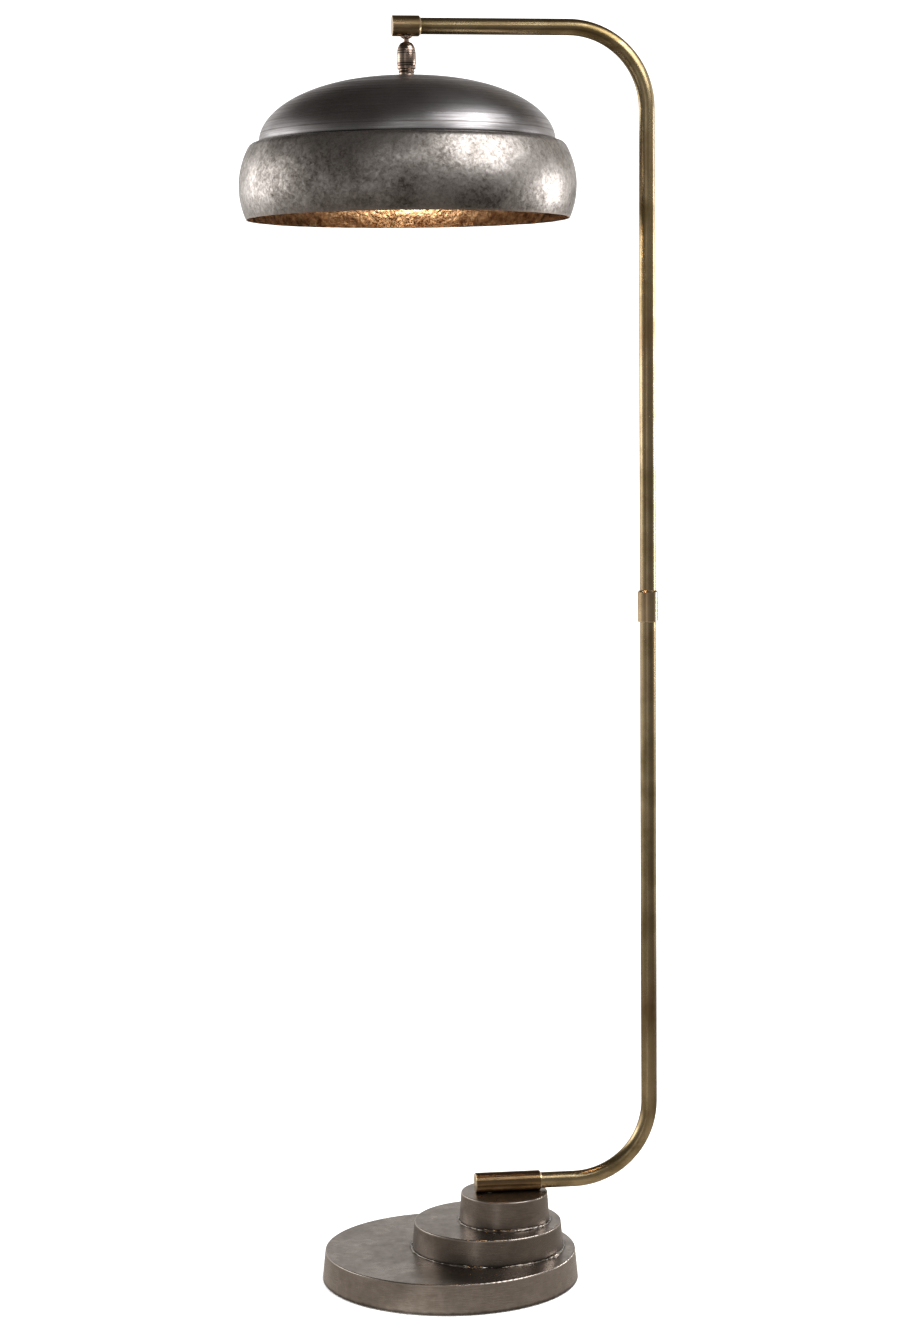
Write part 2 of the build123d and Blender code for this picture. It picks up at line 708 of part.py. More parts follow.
with BuildPart() as arm_ferrule:
    with BuildSketch(level(pole_x, ferrule_start_z)):
        Circle(tube_r)
    extrude(amount=ferrule_barrel)
    with BuildSketch(level(pole_x, arm_tube_start_z)):
        Circle(tube_bore_r - fixed_gap)
    extrude(amount=ferrule_spigot)
    with BuildSketch(level(pole_x, ferrule_start_z)):
        Circle(ferrule_bore_r)
    extrude(amount=ferrule_barrel + ferrule_spigot, mode=Mode.SUBTRACT)
    # Groove that the stop screw runs in; the land left at the front ends the swing
    start = radians(90 - stop_half_angle)
    groove_plane = Plane(
        origin=(pole_x, 0, 0), x_dir=(cos(start), sin(start), 0), z_dir=(sin(start), -cos(start), 0)
    )
    with BuildSketch(groove_plane):
        with Locations((tube_r, stop_z)):
            Rectangle(2 * stop_groove_depth, stop_groove_w)
    revolve(axis=pole_axis, revolution_arc=2 * stop_half_angle, mode=Mode.SUBTRACT)
write("arm_ferrule", arm_ferrule)

# ---------------------------------------------------------------- arm and end block
with BuildPart() as upper_tube:
    with BuildLine(Plane.XZ):
        FilletPolyline(
            (pole_x, arm_tube_start_z), (pole_x, arm_z), (arm_tube_end_x, arm_z), radius=bend_r
        )
    with BuildSketch(level(pole_x, arm_tube_start_z)):
        Circle(tube_r)
        Circle(tube_bore_r, mode=Mode.SUBTRACT)
    sweep()
write("upper_tube", upper_tube)

with BuildPart() as end_block:
    with BuildSketch(along_x(block_start_x, arm_z)):
        Circle(sleeve_r)
    extrude(amount=block_len)
    chamfer(end_block.edges().group_by(Axis.X)[-1], mouth_chamfer)
    chamfer(end_block.edges().group_by(Axis.X)[0], end_break)
    with BuildSketch(along_x(arm_tube_end_x, arm_z)):
        Circle(tube_r + fixed_gap)
    extrude(amount=block_tube_grip, mode=Mode.SUBTRACT)
    with BuildSketch(along_x(block_start_x + block_end_wall, arm_z)):
        Circle(tube_bore_r)
    extrude(amount=block_len - block_end_wall - block_tube_grip, mode=Mode.SUBTRACT)
    # Spot face and hole for the ball stud
    with BuildSketch(level(shade_x, block_bottom_z)):
        Circle(stud_flange_r + spot_face_gap)
    extrude(amount=-2 * block_spot_face, mode=Mode.SUBTRACT)
    with BuildSketch(level(shade_x, block_bottom_z)):
        Circle(stud_thread_r + running_gap)
    extrude(amount=stud_thread_len, mode=Mode.SUBTRACT)
    with BuildSketch(facing_back(block_screw_x, 0, arm_z)):
        Circle(stop_screw_r + fixed_gap)
    extrude(amount=sleeve_r, mode=Mode.SUBTRACT)
write("end_block", end_block)

block_set_screw = set_screw(
    block_screw_x, arm_z, stop_screw_r, tube_r + fixed_gap, sleeve_r - end_break
)
write("block_set_screw", block_set_screw)

# ---------------------------------------------------------------- ball swivel
with BuildPart() as ball_stud:
    with BuildSketch(section(shade_x)):
        with BuildLine():
            Polyline(
                (0, ball_z),
                (stud_neck_r, ball_z),
                (stud_neck_r, stud_flange_z),
                (stud_flange_r, stud_flange_z + stud_flange_h - stud_flange_rim),
                (stud_flange_r, stud_flange_z + stud_flange_h),
                (stud_thread_r, stud_flange_z + stud_flange_h),
                (stud_thread_r, stud_flange_z + stud_flange_h + stud_thread_len),
                (0, stud_flange_z + stud_flange_h + stud_thread_len),
                close=True,
            )
        make_face()
    revolve(axis=shade_axis)
    with Locations((shade_x, 0, ball_z)):
        Sphere(ball_r)
    with BuildSketch(level(shade_x, ball_z)):
        Circle(stud_bore_r)
    extrude(amount=ball_drop, both=True, mode=Mode.SUBTRACT)
write("ball_stud", ball_stud)

with BuildPart() as swivel_cap:
    with BuildSketch(section(shade_x)):
        with BuildLine():
            ThreePointArc(
                (cap_lip_r + cap_lip_wall, ball_z + cap_lip_h),
                (cap_belly_r, ball_z + cap_belly_h),
                (barrel_end_r, barrel_top_z + joint_break),
            )
            Polyline(
                (barrel_end_r, barrel_top_z + joint_break),
                (barrel_end_r - joint_break, barrel_top_z),
                (barrel_bore_r - fixed_gap, barrel_top_z),
                (barrel_bore_r - fixed_gap, ball_z - cap_skirt),
                (0, ball_z - cap_skirt),
                (0, ball_z + cap_lip_h),
                (cap_lip_r + cap_lip_wall, ball_z + cap_lip_h),
            )
        make_face()
    revolve(axis=shade_axis)
    with Locations((shade_x, 0, ball_z)):
        Sphere(socket_r, mode=Mode.SUBTRACT)
    with BuildSketch(level(shade_x, ball_z)):
        Circle(socket_r)
    extrude(amount=-cap_skirt, mode=Mode.SUBTRACT)
write("swivel_cap", swivel_cap)

with BuildPart() as ball_seat:
    with BuildSketch(section(shade_x)):
        add(ring(seat_bore_r, socket_r - running_gap, seat_start_z, seat_top_z))
    revolve(axis=shade_axis)
    with Locations((shade_x, 0, ball_z)):
        Sphere(socket_r, mode=Mode.SUBTRACT)
write("ball_seat", ball_seat)

with BuildPart() as seat_spring:
    spring_inner_r = nipple_r + fixed_gap
    spring_outer_r = socket_r - 3 * running_gap
    with BuildSketch(section(shade_x)):
        with BuildLine():
            Polyline(
                (spring_inner_r, seat_start_z - running_gap - spring_thick),
                (spring_inner_r, seat_start_z - running_gap),
                (spring_outer_r, seat_start_z - running_gap - spring_rise),
                (spring_outer_r, seat_start_z - running_gap - spring_rise - spring_thick),
                close=True,
            )
        make_face()
    revolve(axis=shade_axis)
write("seat_spring", seat_spring)

with BuildPart() as swivel_barrel:
    barrel_middle_z = (barrel_top_z + barrel_end_z) / 2
    with BuildSketch(section(shade_x)):
        with BuildLine():
            ThreePointArc(
                (barrel_end_r, barrel_end_z + joint_break),
                (barrel_r, barrel_middle_z),
                (barrel_end_r, barrel_top_z - joint_break),
            )
            Polyline(
                (barrel_end_r, barrel_top_z - joint_break),
                (barrel_end_r - joint_break, barrel_top_z),
                (barrel_bore_r, barrel_top_z),
                (barrel_bore_r, seat_top_z),
                (socket_r, seat_top_z),
                (socket_r, barrel_floor_z),
                (nipple_r + fixed_gap, barrel_floor_z),
                (nipple_r + fixed_gap, barrel_end_z),
                (barrel_end_r - joint_break, barrel_end_z),
                (barrel_end_r, barrel_end_z + joint_break),
            )
        make_face()
    revolve(axis=shade_axis)
write("swivel_barrel", swivel_barrel)

with BuildPart() as swivel_foot:
    foot_bore_r = nipple_r + fixed_gap
    bead_start_z = barrel_end_z - foot_bead_start
    flare_start_z = barrel_end_z - foot_flare_start
    with BuildSketch(section(shade_x)):
        with BuildLine():
            Polyline(
                (foot_bore_r, barrel_end_z),
                (foot_ring_r - 2 * joint_break, barrel_end_z),
                (foot_ring_r, barrel_end_z - 2 * joint_break),
                (foot_ring_r, barrel_end_z - foot_ring_h),
                (foot_waist_r, barrel_end_z - foot_waist_start),
                (foot_waist_r, bead_start_z),
            )
            ThreePointArc(
                (foot_waist_r, bead_start_z),
                (foot_bead_r, bead_start_z - foot_bead_h / 2),
                (foot_waist_r, bead_start_z - foot_bead_h),
            )
            Line((foot_waist_r, bead_start_z - foot_bead_h), (foot_waist_r, flare_start_z))
            TangentArc(
                (foot_waist_r, flare_start_z), (foot_ring_r, dome_top_z + foot_lip_h), tangent=(0, -1)
            )
            Polyline(
                (foot_ring_r, dome_top_z + foot_lip_h),
                (foot_ring_r, dome_top_z),
                (foot_bore_r, dome_top_z),
                (foot_bore_r, barrel_end_z),
            )
        make_face()
    revolve(axis=shade_axis)
write("swivel_foot", swivel_foot)

with BuildPart() as shade_nipple:
    with BuildSketch(level(shade_x, nipple_end_z)):
        Circle(nipple_r)
        Circle(nipple_bore_r, mode=Mode.SUBTRACT)
    extrude(amount=barrel_floor_z - nipple_end_z)
write("shade_nipple", shade_nipple)

# ---------------------------------------------------------------- shade
with BuildPart() as shade_dome:
    with BuildSketch(section(shade_x)):
        with BuildLine():
            Line((dome_r - sheet / 2, seam_z - dome_skirt), (dome_r - sheet / 2, seam_z))
            EllipticalCenterArc(
                (dome_flat_r, seam_z), dome_r - sheet / 2 - dome_flat_r, dome_h - sheet / 2, arc_size=90
            )
            Line((dome_flat_r, dome_top_z - sheet / 2), (nipple_r + fixed_gap, dome_top_z - sheet / 2))
        trace(line_width=sheet)
    revolve(axis=shade_axis)
write("shade_dome", shade_dome)

with BuildPart() as shade_band:
    with BuildSketch(section(shade_x)):
        with BuildLine() as band_line:
            Line((dome_r, seam_z - sheet / 2), (band_shoulder_r, seam_z - sheet / 2))
            ThreePointArc(
                (band_shoulder_r, seam_z - sheet / 2),
                (band_belly_r - sheet / 2, seam_z - band_belly_drop),
                (band_rim_r - sheet / 2, rim_z),
            )
            fillet(band_line.vertices().sort_by(Axis.Y)[-2:].sort_by(Axis.X)[-1], band_shoulder_round)
        trace(line_width=sheet)
    revolve(axis=shade_axis)
write("shade_band", shade_band)

with BuildPart() as shade_washer:
    with BuildSketch(level(shade_x, dome_top_z - sheet - shade_washer_thick)):
        Circle(shade_washer_r)
        Circle(nipple_r + fixed_gap, mode=Mode.SUBTRACT)
    extrude(amount=shade_washer_thick)
write("shade_washer", shade_washer)

with BuildPart() as shade_nut:
    with BuildSketch(level(shade_x, shade_nut_z)):
        RegularPolygon(shade_nut_flats / 2, 6, major_radius=False)
        Circle(nipple_r + fixed_gap, mode=Mode.SUBTRACT)
    extrude(amount=shade_nut_h)
write("shade_nut", shade_nut)

# ---------------------------------------------------------------- lampholder
with BuildPart() as holder_cap:
    with BuildSketch(section(shade_x)):
        with BuildLine():
            Polyline(
                (nipple_r + fixed_gap, holder_top_z),
                (holder_hub_r, holder_top_z),
                (holder_hub_r, holder_top_z - holder_hub_h / 2),
            )
            ThreePointArc(
                (holder_hub_r, holder_top_z - holder_hub_h / 2),
                (holder_r - holder_shoulder_in, holder_top_z - holder_shoulder_drop),
                (holder_r, holder_shell_z),
            )
            Polyline(
                (holder_r, holder_shell_z),
                (holder_bore_r - holder_lip, holder_shell_z),
                (nipple_r + 2 * holder_wall, nipple_end_z),
                (nipple_r + fixed_gap, nipple_end_z),
                (nipple_r + fixed_gap, holder_top_z),
            )
        make_face()
    revolve(axis=shade_axis)
write("holder_cap", holder_cap)

with BuildPart() as holder_shell:
    with BuildSketch(section(shade_x)):
        add(ring(holder_bore_r, holder_r, holder_end_z, holder_shell_z))
        # Rolled bead at the mouth
        with Locations((holder_r, holder_end_z + holder_wall)):
            Circle(holder_wall)
    revolve(axis=shade_axis)
    with BuildSketch(facing_back(shade_x, 0, switch_z)):
        Circle(switch_shaft_r + switch_hole_gap)
    extrude(amount=-2 * holder_r, mode=Mode.SUBTRACT)
write("holder_shell", holder_shell)

with BuildPart() as holder_liner:
    with BuildSketch(level(shade_x, holder_end_z)):
        Circle(liner_r)
        Circle(liner_r - liner_wall, mode=Mode.SUBTRACT)
    extrude(amount=holder_shell_h)
    with BuildSketch(facing_back(shade_x, 0, switch_z)):
        Circle(switch_shaft_r + switch_hole_gap)
    extrude(amount=-2 * holder_r, mode=Mode.SUBTRACT)
write("holder_liner", holder_liner)

with BuildPart() as holder_core:
    with BuildSketch(level(shade_x, core_end_z)):
        Circle(core_r)
    extrude(amount=core_h)
    with BuildSketch(facing_back(shade_x, -core_r + switch_shaft_in, switch_z)):
        Circle(switch_shaft_r + running_gap)
    extrude(amount=-switch_shaft_in, mode=Mode.SUBTRACT)
write("holder_core", holder_core)

with BuildPart() as screw_shell:
    # Rolled thread drawn as closed rings
    pitch = screw_shell_h / (screw_shell_crests + 1)
    crest_r = screw_shell_r - screw_shell_wall
    with BuildSketch(section(shade_x)):
        with BuildLine():
            Line((crest_r, core_end_z), (crest_r, core_end_z - pitch))
            for i in range(screw_shell_crests):
                z = core_end_z - (i + 1) * pitch
                ThreePointArc(
                    (crest_r, z), (crest_r - screw_shell_wall, z - pitch / 2), (crest_r, z - pitch)
                )
        trace(line_width=screw_shell_wall)
    revolve(axis=shade_axis)
write("screw_shell", screw_shell)

with BuildPart() as centre_contact:
    # Spring tongue: riveted at one side of the core and bent down to the middle
    with BuildSketch(Plane(origin=(shade_x, contact_w / 2, core_end_z), x_dir=(1, 0, 0), z_dir=(0, -1, 0))):
        with BuildLine():
            Polyline(
                (core_r / 2, 0),
                (core_r / 2, -contact_thick),
                (core_r / 4, -contact_thick),
                (bulb_tip_r / 2, -contact_rise - contact_thick),
                (-bulb_tip_r / 2, -contact_rise - contact_thick),
                (-bulb_tip_r / 2, -contact_rise),
                (bulb_tip_r / 2, -contact_rise),
                (core_r / 4, 0),
                close=True,
            )
        make_face()
    extrude(amount=contact_w)
write("centre_contact", centre_contact)

with BuildPart() as switch_shaft:
    with BuildSketch(facing_back(shade_x, -core_r + switch_shaft_in - running_gap, switch_z)):
        Circle(switch_shaft_r)
    extrude(amount=-(holder_r - core_r + switch_shaft_in + switch_shaft_out))
write("switch_shaft", switch_shaft)

with BuildPart() as switch_knob:
    knob_y = -holder_r - knob_standoff
    with BuildSketch(facing_back(shade_x, knob_y, switch_z)):
        Circle(knob_hub_r)
    extrude(amount=-knob_hub_len)
    # Flat thumb grip
    with BuildSketch(facing_back(shade_x, knob_y - knob_hub_len, switch_z)):
        SlotOverall(knob_w, knob_thick)
    extrude(amount=-knob_h)
    fillet(switch_knob.edges().group_by(Axis.Y)[0], knob_edge_round)
    with BuildSketch(facing_back(shade_x, knob_y, switch_z)):
        Circle(switch_shaft_r + fixed_gap)
    extrude(amount=-(switch_shaft_out - knob_standoff + running_gap + fixed_gap), mode=Mode.SUBTRACT)
write("switch_knob", switch_knob)

# ---------------------------------------------------------------- bulb
with BuildPart() as bulb_cap:
    pitch = bulb_cap_h / bulb_crests
    with BuildSketch(section(shade_x)):
        with BuildLine():
            for i in range(bulb_crests):
                z = bulb_cap_top_z - i * pitch
                ThreePointArc(
                    (bulb_thread_r, z), (bulb_cap_r, z - pitch / 2), (bulb_thread_r, z - pitch)
                )
            Polyline(
                (bulb_thread_r, bulb_cap_end_z),
                (bulb_thread_r - bulb_cap_wall, bulb_cap_end_z),
                (bulb_thread_r - bulb_cap_wall, bulb_cap_top_z - bulb_cap_roof),
                (bulb_tip_r, bulb_cap_top_z - bulb_cap_roof),
                (bulb_tip_r, bulb_cap_top_z),
                (bulb_thread_r, bulb_cap_top_z),
            )
        make_face()
    revolve(axis=shade_axis)
write("bulb_cap", bulb_cap)

with BuildPart() as bulb_insulator:
    with BuildSketch(section(shade_x)):
        with BuildLine():
            Polyline(
                (0, bulb_cap_top_z),
                (bulb_cap_r - bulb_insulator_inset, bulb_cap_top_z),
                (bulb_tip_r, bulb_top_z - bulb_tip_h),
                (0, bulb_top_z - bulb_tip_h),
                close=True,
            )
        make_face()
    revolve(axis=shade_axis)
write("bulb_insulator", bulb_insulator)

with BuildPart() as bulb_contact:
    with BuildSketch(level(shade_x, bulb_top_z - bulb_tip_h)):
        Circle(bulb_tip_r)
    extrude(amount=bulb_tip_h)
    fillet(bulb_contact.edges().group_by(Axis.Z)[-1], bulb_tip_h / 2)
write("bulb_contact", bulb_contact)

with BuildPart() as bulb_glass:
    glass_end_z = bulb_cap_end_z - bulb_glass_len
    globe_z = glass_end_z + bulb_glass_r
    neck_r = bulb_neck_r - bulb_glass_wall / 2
    with BuildSketch(section(shade_x)):
        with BuildLine():
            neck = Line((neck_r, bulb_cap_end_z + bulb_neck_in), (neck_r, bulb_cap_end_z))
            globe = CenterArc((0, globe_z), bulb_glass_r - bulb_glass_wall / 2, -90, bulb_globe_arc)
            Spline(neck @ 1, globe @ 1, tangents=(neck % 1, -(globe % 1)))
        trace(line_width=bulb_glass_wall)
        split(bisect_by=Plane.YZ, keep=Keep.TOP)
    revolve(axis=shade_axis)
write("bulb_glass", bulb_glass)

# ---------------------------------------------------------------- wiring inside the lamp
with BuildPart() as lead_lower:
    with BuildLine() as lead_lower_path:
        FilletPolyline(
            (0, lead_start_y, inlet_z),
            (0, lead_turn_y, inlet_z),
            (tie_x, 0, inlet_z),
            (tie_x, 0, sleeve_z),
            (pole_x, 0, sleeve_z),
            (pole_x, 0, collar_joint_z),
            radius=[lead_plan_bend_r, tie_lead_bend_r, sleeve_lead_bend_r, bend_r],
        )
    with BuildSketch(facing_back(0, lead_start_y, inlet_z)):
        Circle(lead_r)
    sweep()
write("lead_lower", lead_lower)

with BuildPart() as lead_upper:
    with BuildLine(Plane.XZ) as lead_upper_path:
        FilletPolyline(
            (pole_x, ferrule_start_z),
            (pole_x, arm_z),
            (shade_x, arm_z),
            (shade_x, ball_z - ball_r / 2),
            radius=[bend_r, arm_lead_bend_r],
        )
    with BuildSketch(level(pole_x, ferrule_start_z)):
        Circle(lead_r)
    sweep()
write("lead_upper", lead_upper)

with BuildPart() as lead_shade:
    with BuildSketch(level(shade_x, holder_shell_z)):
        Circle(lead_r)
    extrude(amount=ball_z - ball_r - 4 * running_gap - holder_shell_z)
write("lead_shade", lead_shade)

# ---------------------------------------------------------------- sums
print(f"overall height {arm_z + sleeve_r:.1f} mm, ball centre {ball_z:.1f}, shade rim {rim_z:.1f}")
for lead, path in ((lead_lower, lead_lower_path), (lead_upper, lead_upper_path)):
    run = sum(edge.length for edge in path.line.edges())
    print(f"{lead.part.label}: {run:.0f} mm, volume over section times length "
          f"{lead.part.volume / (pi * lead_r**2 * run):.4f}")
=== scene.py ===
"""Pharmacy floor lamp: the looks of the lamp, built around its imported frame.

Everything is in metres, in the frame's own axes: +Z is up, the stem stands on the +X side, and the
front of the lamp faces -Y.
"""

from math import atan2, cos, pi, radians, sin, sqrt

import bpy
from mathutils import Matrix, Vector


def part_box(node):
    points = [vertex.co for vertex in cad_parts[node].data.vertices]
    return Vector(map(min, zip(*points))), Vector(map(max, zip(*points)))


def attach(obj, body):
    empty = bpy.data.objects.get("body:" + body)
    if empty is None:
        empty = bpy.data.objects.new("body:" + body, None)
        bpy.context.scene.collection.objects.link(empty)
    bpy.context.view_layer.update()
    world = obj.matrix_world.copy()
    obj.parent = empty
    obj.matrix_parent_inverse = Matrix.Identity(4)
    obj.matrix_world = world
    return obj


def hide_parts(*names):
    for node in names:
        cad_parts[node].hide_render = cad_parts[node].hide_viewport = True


bl_info = {
    "name": "Pharmacy Floor Lamp",
    "version": (1, 0, 0),
    "blender": (4, 5, 0),
    "location": "View3D > Sidebar > Lamp",
    "description": "Builds the shade, stem, base and lampholder of a pharmacy floor lamp",
    "category": "Add Mesh",
}

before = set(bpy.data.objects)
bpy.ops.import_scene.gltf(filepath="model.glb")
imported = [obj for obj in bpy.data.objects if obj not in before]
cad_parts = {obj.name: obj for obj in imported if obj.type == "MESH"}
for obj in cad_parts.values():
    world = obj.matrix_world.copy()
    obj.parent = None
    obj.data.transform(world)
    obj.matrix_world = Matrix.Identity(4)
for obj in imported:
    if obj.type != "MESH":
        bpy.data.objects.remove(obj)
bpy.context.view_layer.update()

MM = 0.001


# ---------------------------------------------------------------- places read from the frame
def span(name):
    """Lowest corner, highest corner and middle of a CAD node."""
    low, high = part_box(name)
    return low, high, (low + high) / 2


DOME_LOW, DOME_HIGH, DOME_MIDDLE = span("shade_dome")
BAND_LOW, BAND_HIGH, _ = span("shade_band")
SHADE_X = DOME_MIDDLE.x
SEAM_Z = BAND_HIGH.z
LARGE_LOW, LARGE_HIGH, _ = span("base_disc_large")
MIDDLE_LOW, MIDDLE_HIGH, _ = span("base_disc_middle")
SMALL_LOW, SMALL_HIGH, _ = span("base_disc_small")
# Heights of the two level runs of tube: in the end block, and in the sleeve on the base
ARM_Z = span("end_block")[2].z
SLEEVE_LOW, SLEEVE_HIGH, _ = span("base_sleeve")
FOOT_Z = SLEEVE_HIGH.z - (SLEEVE_HIGH.y - SLEEVE_LOW.y) / 2

# ---------------------------------------------------------------- fineness of the modelled pieces
CLEARANCE = 0.05 * MM       # between a modelled piece and the piece that it meets
MERGE_DISTANCE = 0.005 * MM
SHARP_ANGLE = 40            # degrees between faces, above which an edge stays sharp
DOME_STEPS = 256            # round the dome
CROWN_POINTS = 64           # from the seam to the crown's flat
BAND_STEPS = 560            # round the band, fine enough for its hammer marks
BELLY_POINTS = 60           # from the shoulder to the rim
CORNER_POINTS = 8           # round the shoulder's corner
CORNER_END = 4              # point of the belly where the corner runs out
BEAD_STEPS = (480, 18)      # round a disc, and round the bead's own section

# Slow unevenness left by hand work: how wide it is, and how high on the band
BAND_WAVE = 60 * MM
BAND_WAVE_HEIGHT = 0.8 * MM
BEAD_SWELL = 34 * MM
BEAD_LUMP = 7 * MM


# ---------------------------------------------------------------- colours
def linear(code):
    """Linear RGB of an sRGB hex colour."""
    channels = [int(code[i:i + 2], 16) / 255 for i in (1, 3, 5)]
    return tuple(c / 12.92 if c <= 0.04045 else ((c + 0.055) / 1.055) ** 2.4 for c in channels)


def rgba(colour):
    """A colour with full alpha, as shader sockets take it."""
    return (*colour[:3], 1.0)


# ---------------------------------------------------------------- what a user would change
class LampSizes(bpy.types.PropertyGroup):
    sheet: bpy.props.FloatProperty(
        name="Shade sheet", description="Thickness of the spun and hammered shade sheet",
        default=1.2 * MM, min=0.0, unit="LENGTH")
    crown_flat: bpy.props.FloatProperty(
        name="Crown flat", description="Radius of the flat at the top of the dome",
        default=16 * MM, min=0.0, unit="LENGTH")
    shoulder_out: bpy.props.FloatProperty(
        name="Shoulder", description="How far the band's shoulder stands out from the dome",
        default=9.3 * MM, min=0.0, unit="LENGTH")
    shoulder_corner: bpy.props.FloatProperty(
        name="Shoulder corner", description="Width of the rounded corner of the band's shoulder",
        default=5.2 * MM, min=0.0, unit="LENGTH")
    belly_drop: bpy.props.FloatProperty(
        name="Belly drop", description="How far the band is widest below the seam",
        default=53 * MM, min=0.0, unit="LENGTH")
    rim_in: bpy.props.FloatProperty(
        name="Rim", description="How far the rim is drawn in from the widest part of the band",
        default=7.9 * MM, min=0.0, unit="LENGTH")
    dent: bpy.props.FloatProperty(
        name="Hammer mark", description="Width of one hammer mark on the band",
        default=9 * MM, min=0.0, unit="LENGTH")
    dent_depth: bpy.props.FloatProperty(
        name="Hammer mark depth", description="Depth of the hammer marks on the band",
        default=0.22 * MM, min=0.0, unit="LENGTH")
    bead: bpy.props.FloatProperty(
        name="Solder bead", description="Radius of the solder bead round the foot of a disc",
        default=2.0 * MM, min=0.0, unit="LENGTH")


def colour_property(name, description, code):
    """A colour setting whose default is an sRGB hex code."""
    return bpy.props.FloatVectorProperty(
        name=name, description=description, default=linear(code), size=3, min=0.0, max=1.0,
        subtype="COLOR")


class LampColours(bpy.types.PropertyGroup):
    spun: colour_property("Spun dome", "Grey of the spun dome", "#aaa8aa")
    spun_dark: colour_property("Spun dome, dark", "Patina between the brushed rings", "#635e5c")
    hammered: colour_property("Hammered band", "Light grey of the hammered band", "#bab4b0")
    hammered_mid: colour_property("Hammered band, middle", "Middle grey of the hammered band", "#8f8984")
    hammered_dark: colour_property("Hammered band, dark", "Dark blotches of the band", "#524b45")
    rim: colour_property("Rim", "Rubbed rim of the band", "#b0a59b")
    leaf: colour_property("Inside", "Copper gold of the inside of the shade", "#b79f86")
    leaf_dark: colour_property("Inside, dark", "Shadowed copper of the inside", "#6a5443")
    brass: colour_property("Antique brass", "Rubbed face of the stem's patina", "#b5a17c")
    brass_dark: colour_property("Antique brass, dark", "Dark patina of the stem", "#806d4a")
    blush: colour_property("Copper blush", "Pinkish patches in the patina of the brass", "#a5836a")
    turned: colour_property("Turned brass", "End block and collar", "#c6ae88")
    turned_dark: colour_property("Turned brass, dark", "Patina of the end block and collar", "#947d5a")
    sleeve: colour_property("Sleeve brass", "Darker brass of the sleeve on the base", "#8b7250")
    sleeve_dark: colour_property("Sleeve brass, dark", "Dark patina of the sleeve", "#54402a")
    swivel: colour_property("Swivel brass", "Paler brass of the ball swivel", "#b5a193")
    swivel_dark: colour_property("Swivel brass, dark", "Patina in the swivel's tool rings", "#7a675a")
    pewter: colour_property("Pewter", "Brushed plate of the base", "#a59b93")
    pewter_dark: colour_property("Pewter, dark", "Stains of the base plate", "#7f756c")
    # Pale ring on the base discs' top edges: worn metal, and a painted highlight on the rounded edge
    worn_and_highlight: colour_property("Worn edge", "Bare metal on a rubbed edge of the base", "#cfc7bd")
    # Pale ring at the ends of the turned brass: worn metal, and a painted highlight on the chamfers
    worn_brass_and_highlight: colour_property("Worn brass edge", "Bare metal on a rubbed edge of the brass", "#ddc9a6")
    # Painted shade: the sides of the upper discs are painted darker, as they mirror darker surroundings
    # than their tops
    painted_side_shade: colour_property("Wax", "Old dark wax on the sides of the upper discs", "#4a423b")
    # Near-black painted in corners, seams, grooves and pits: dirt, and the shade that falls there
    dirt_and_shade: colour_property("Dirt", "Old polish and dust in the corners", "#1c1816")
    glow: colour_property("Bulb glow", "Light of the bulb", "#ffe6c6")


class LampLook(bpy.types.PropertyGroup):
    bulb_strength: bpy.props.FloatProperty(
        name="Bulb strength", description="Emission strength of the bulb's glass",
        default=46.0, min=0.0)
    key_power: bpy.props.FloatProperty(
        name="Key light", description="Power that the softboxes' shares are taken from",
        default=60.0, min=0.0, unit="POWER")
    room: bpy.props.FloatProperty(
        name="Surroundings", description="Brightness of the even white surroundings",
        default=1.6, min=0.0)
    studio: bpy.props.FloatProperty(
        name="Studio", description="Brightness of the panels that polished metal mirrors",
        default=1.4, min=0.0)


def sizes():
    """The sizes set for this lamp."""
    return bpy.context.scene.lamp_sizes


def colours():
    """The colours set for this lamp."""
    return bpy.context.scene.lamp_colours


def look():
    """The light and glow set for this lamp."""
    return bpy.context.scene.lamp_look


# ---------------------------------------------------------------- material helpers
def feed(tree, socket, value):
    """Sets a socket to a number or a colour, or links it to an output: a node's first one in use."""
    if isinstance(value, bpy.types.Node):
        value = next(output for output in value.outputs if output.enabled)
    if isinstance(value, bpy.types.NodeSocket):
        tree.links.new(value, socket)
    else:
        socket.default_value = rgba(value) if socket.type == "RGBA" else value


def node(tree, kind, inputs=None, stops=(), **settings):
    """Adds a shader node with its settings and links; stops are a colour ramp's places and colours."""
    new = tree.nodes.new("ShaderNode" + kind)
    for name, value in settings.items():
        setattr(new, name, value)
    for name, value in (inputs or {}).items():
        feed(tree, new.inputs[name], value)
    while stops and len(new.color_ramp.elements) < len(stops):
        new.color_ramp.elements.new(1.0)
    for number, (where, colour) in enumerate(stops):
        new.color_ramp.elements[number].position = where
        new.color_ramp.elements[number].color = rgba(colour)
    return new


def new_material(name):
    """A new material, its node tree and its surface shader."""
    made = bpy.data.materials.new(name)
    made.use_nodes = True
    tree = made.node_tree
    return made, tree, tree.nodes["Principled BSDF"]


def set_shader(tree, shader, **values):
    """Sets or links the shader's sockets by name, with _ for a space."""
    for name, value in values.items():
        feed(tree, shader.inputs[name.replace("_", " ")], value)


def place(tree, centre=(0, 0, 0), stretch=(1, 1, 1)):
    """Object coordinates measured from a centre, then scaled along each axis."""
    coordinates = node(tree, "TexCoord").outputs["Object"]
    moved = node(tree, "VectorMath", {0: coordinates, 1: centre}, operation="SUBTRACT")
    return node(tree, "VectorMath", {0: moved, 1: stretch}, operation="MULTIPLY")


def layered(tree, *layers):
    """Adds up patterns, each times its weight."""
    total = 0.0
    for pattern, weight in layers:
        total = node(tree, "Math", {0: pattern, 1: weight, 2: total}, operation="MULTIPLY_ADD")
    return total


def paint_over(tree, under, cover, mask, strength=1.0):
    """Lays a colour over another where a mask is 1."""
    amount = node(tree, "Math", {0: mask, 1: strength}, operation="MULTIPLY")
    return node(tree, "Mix", {0: amount, 6: under, 7: cover}, data_type="RGBA")


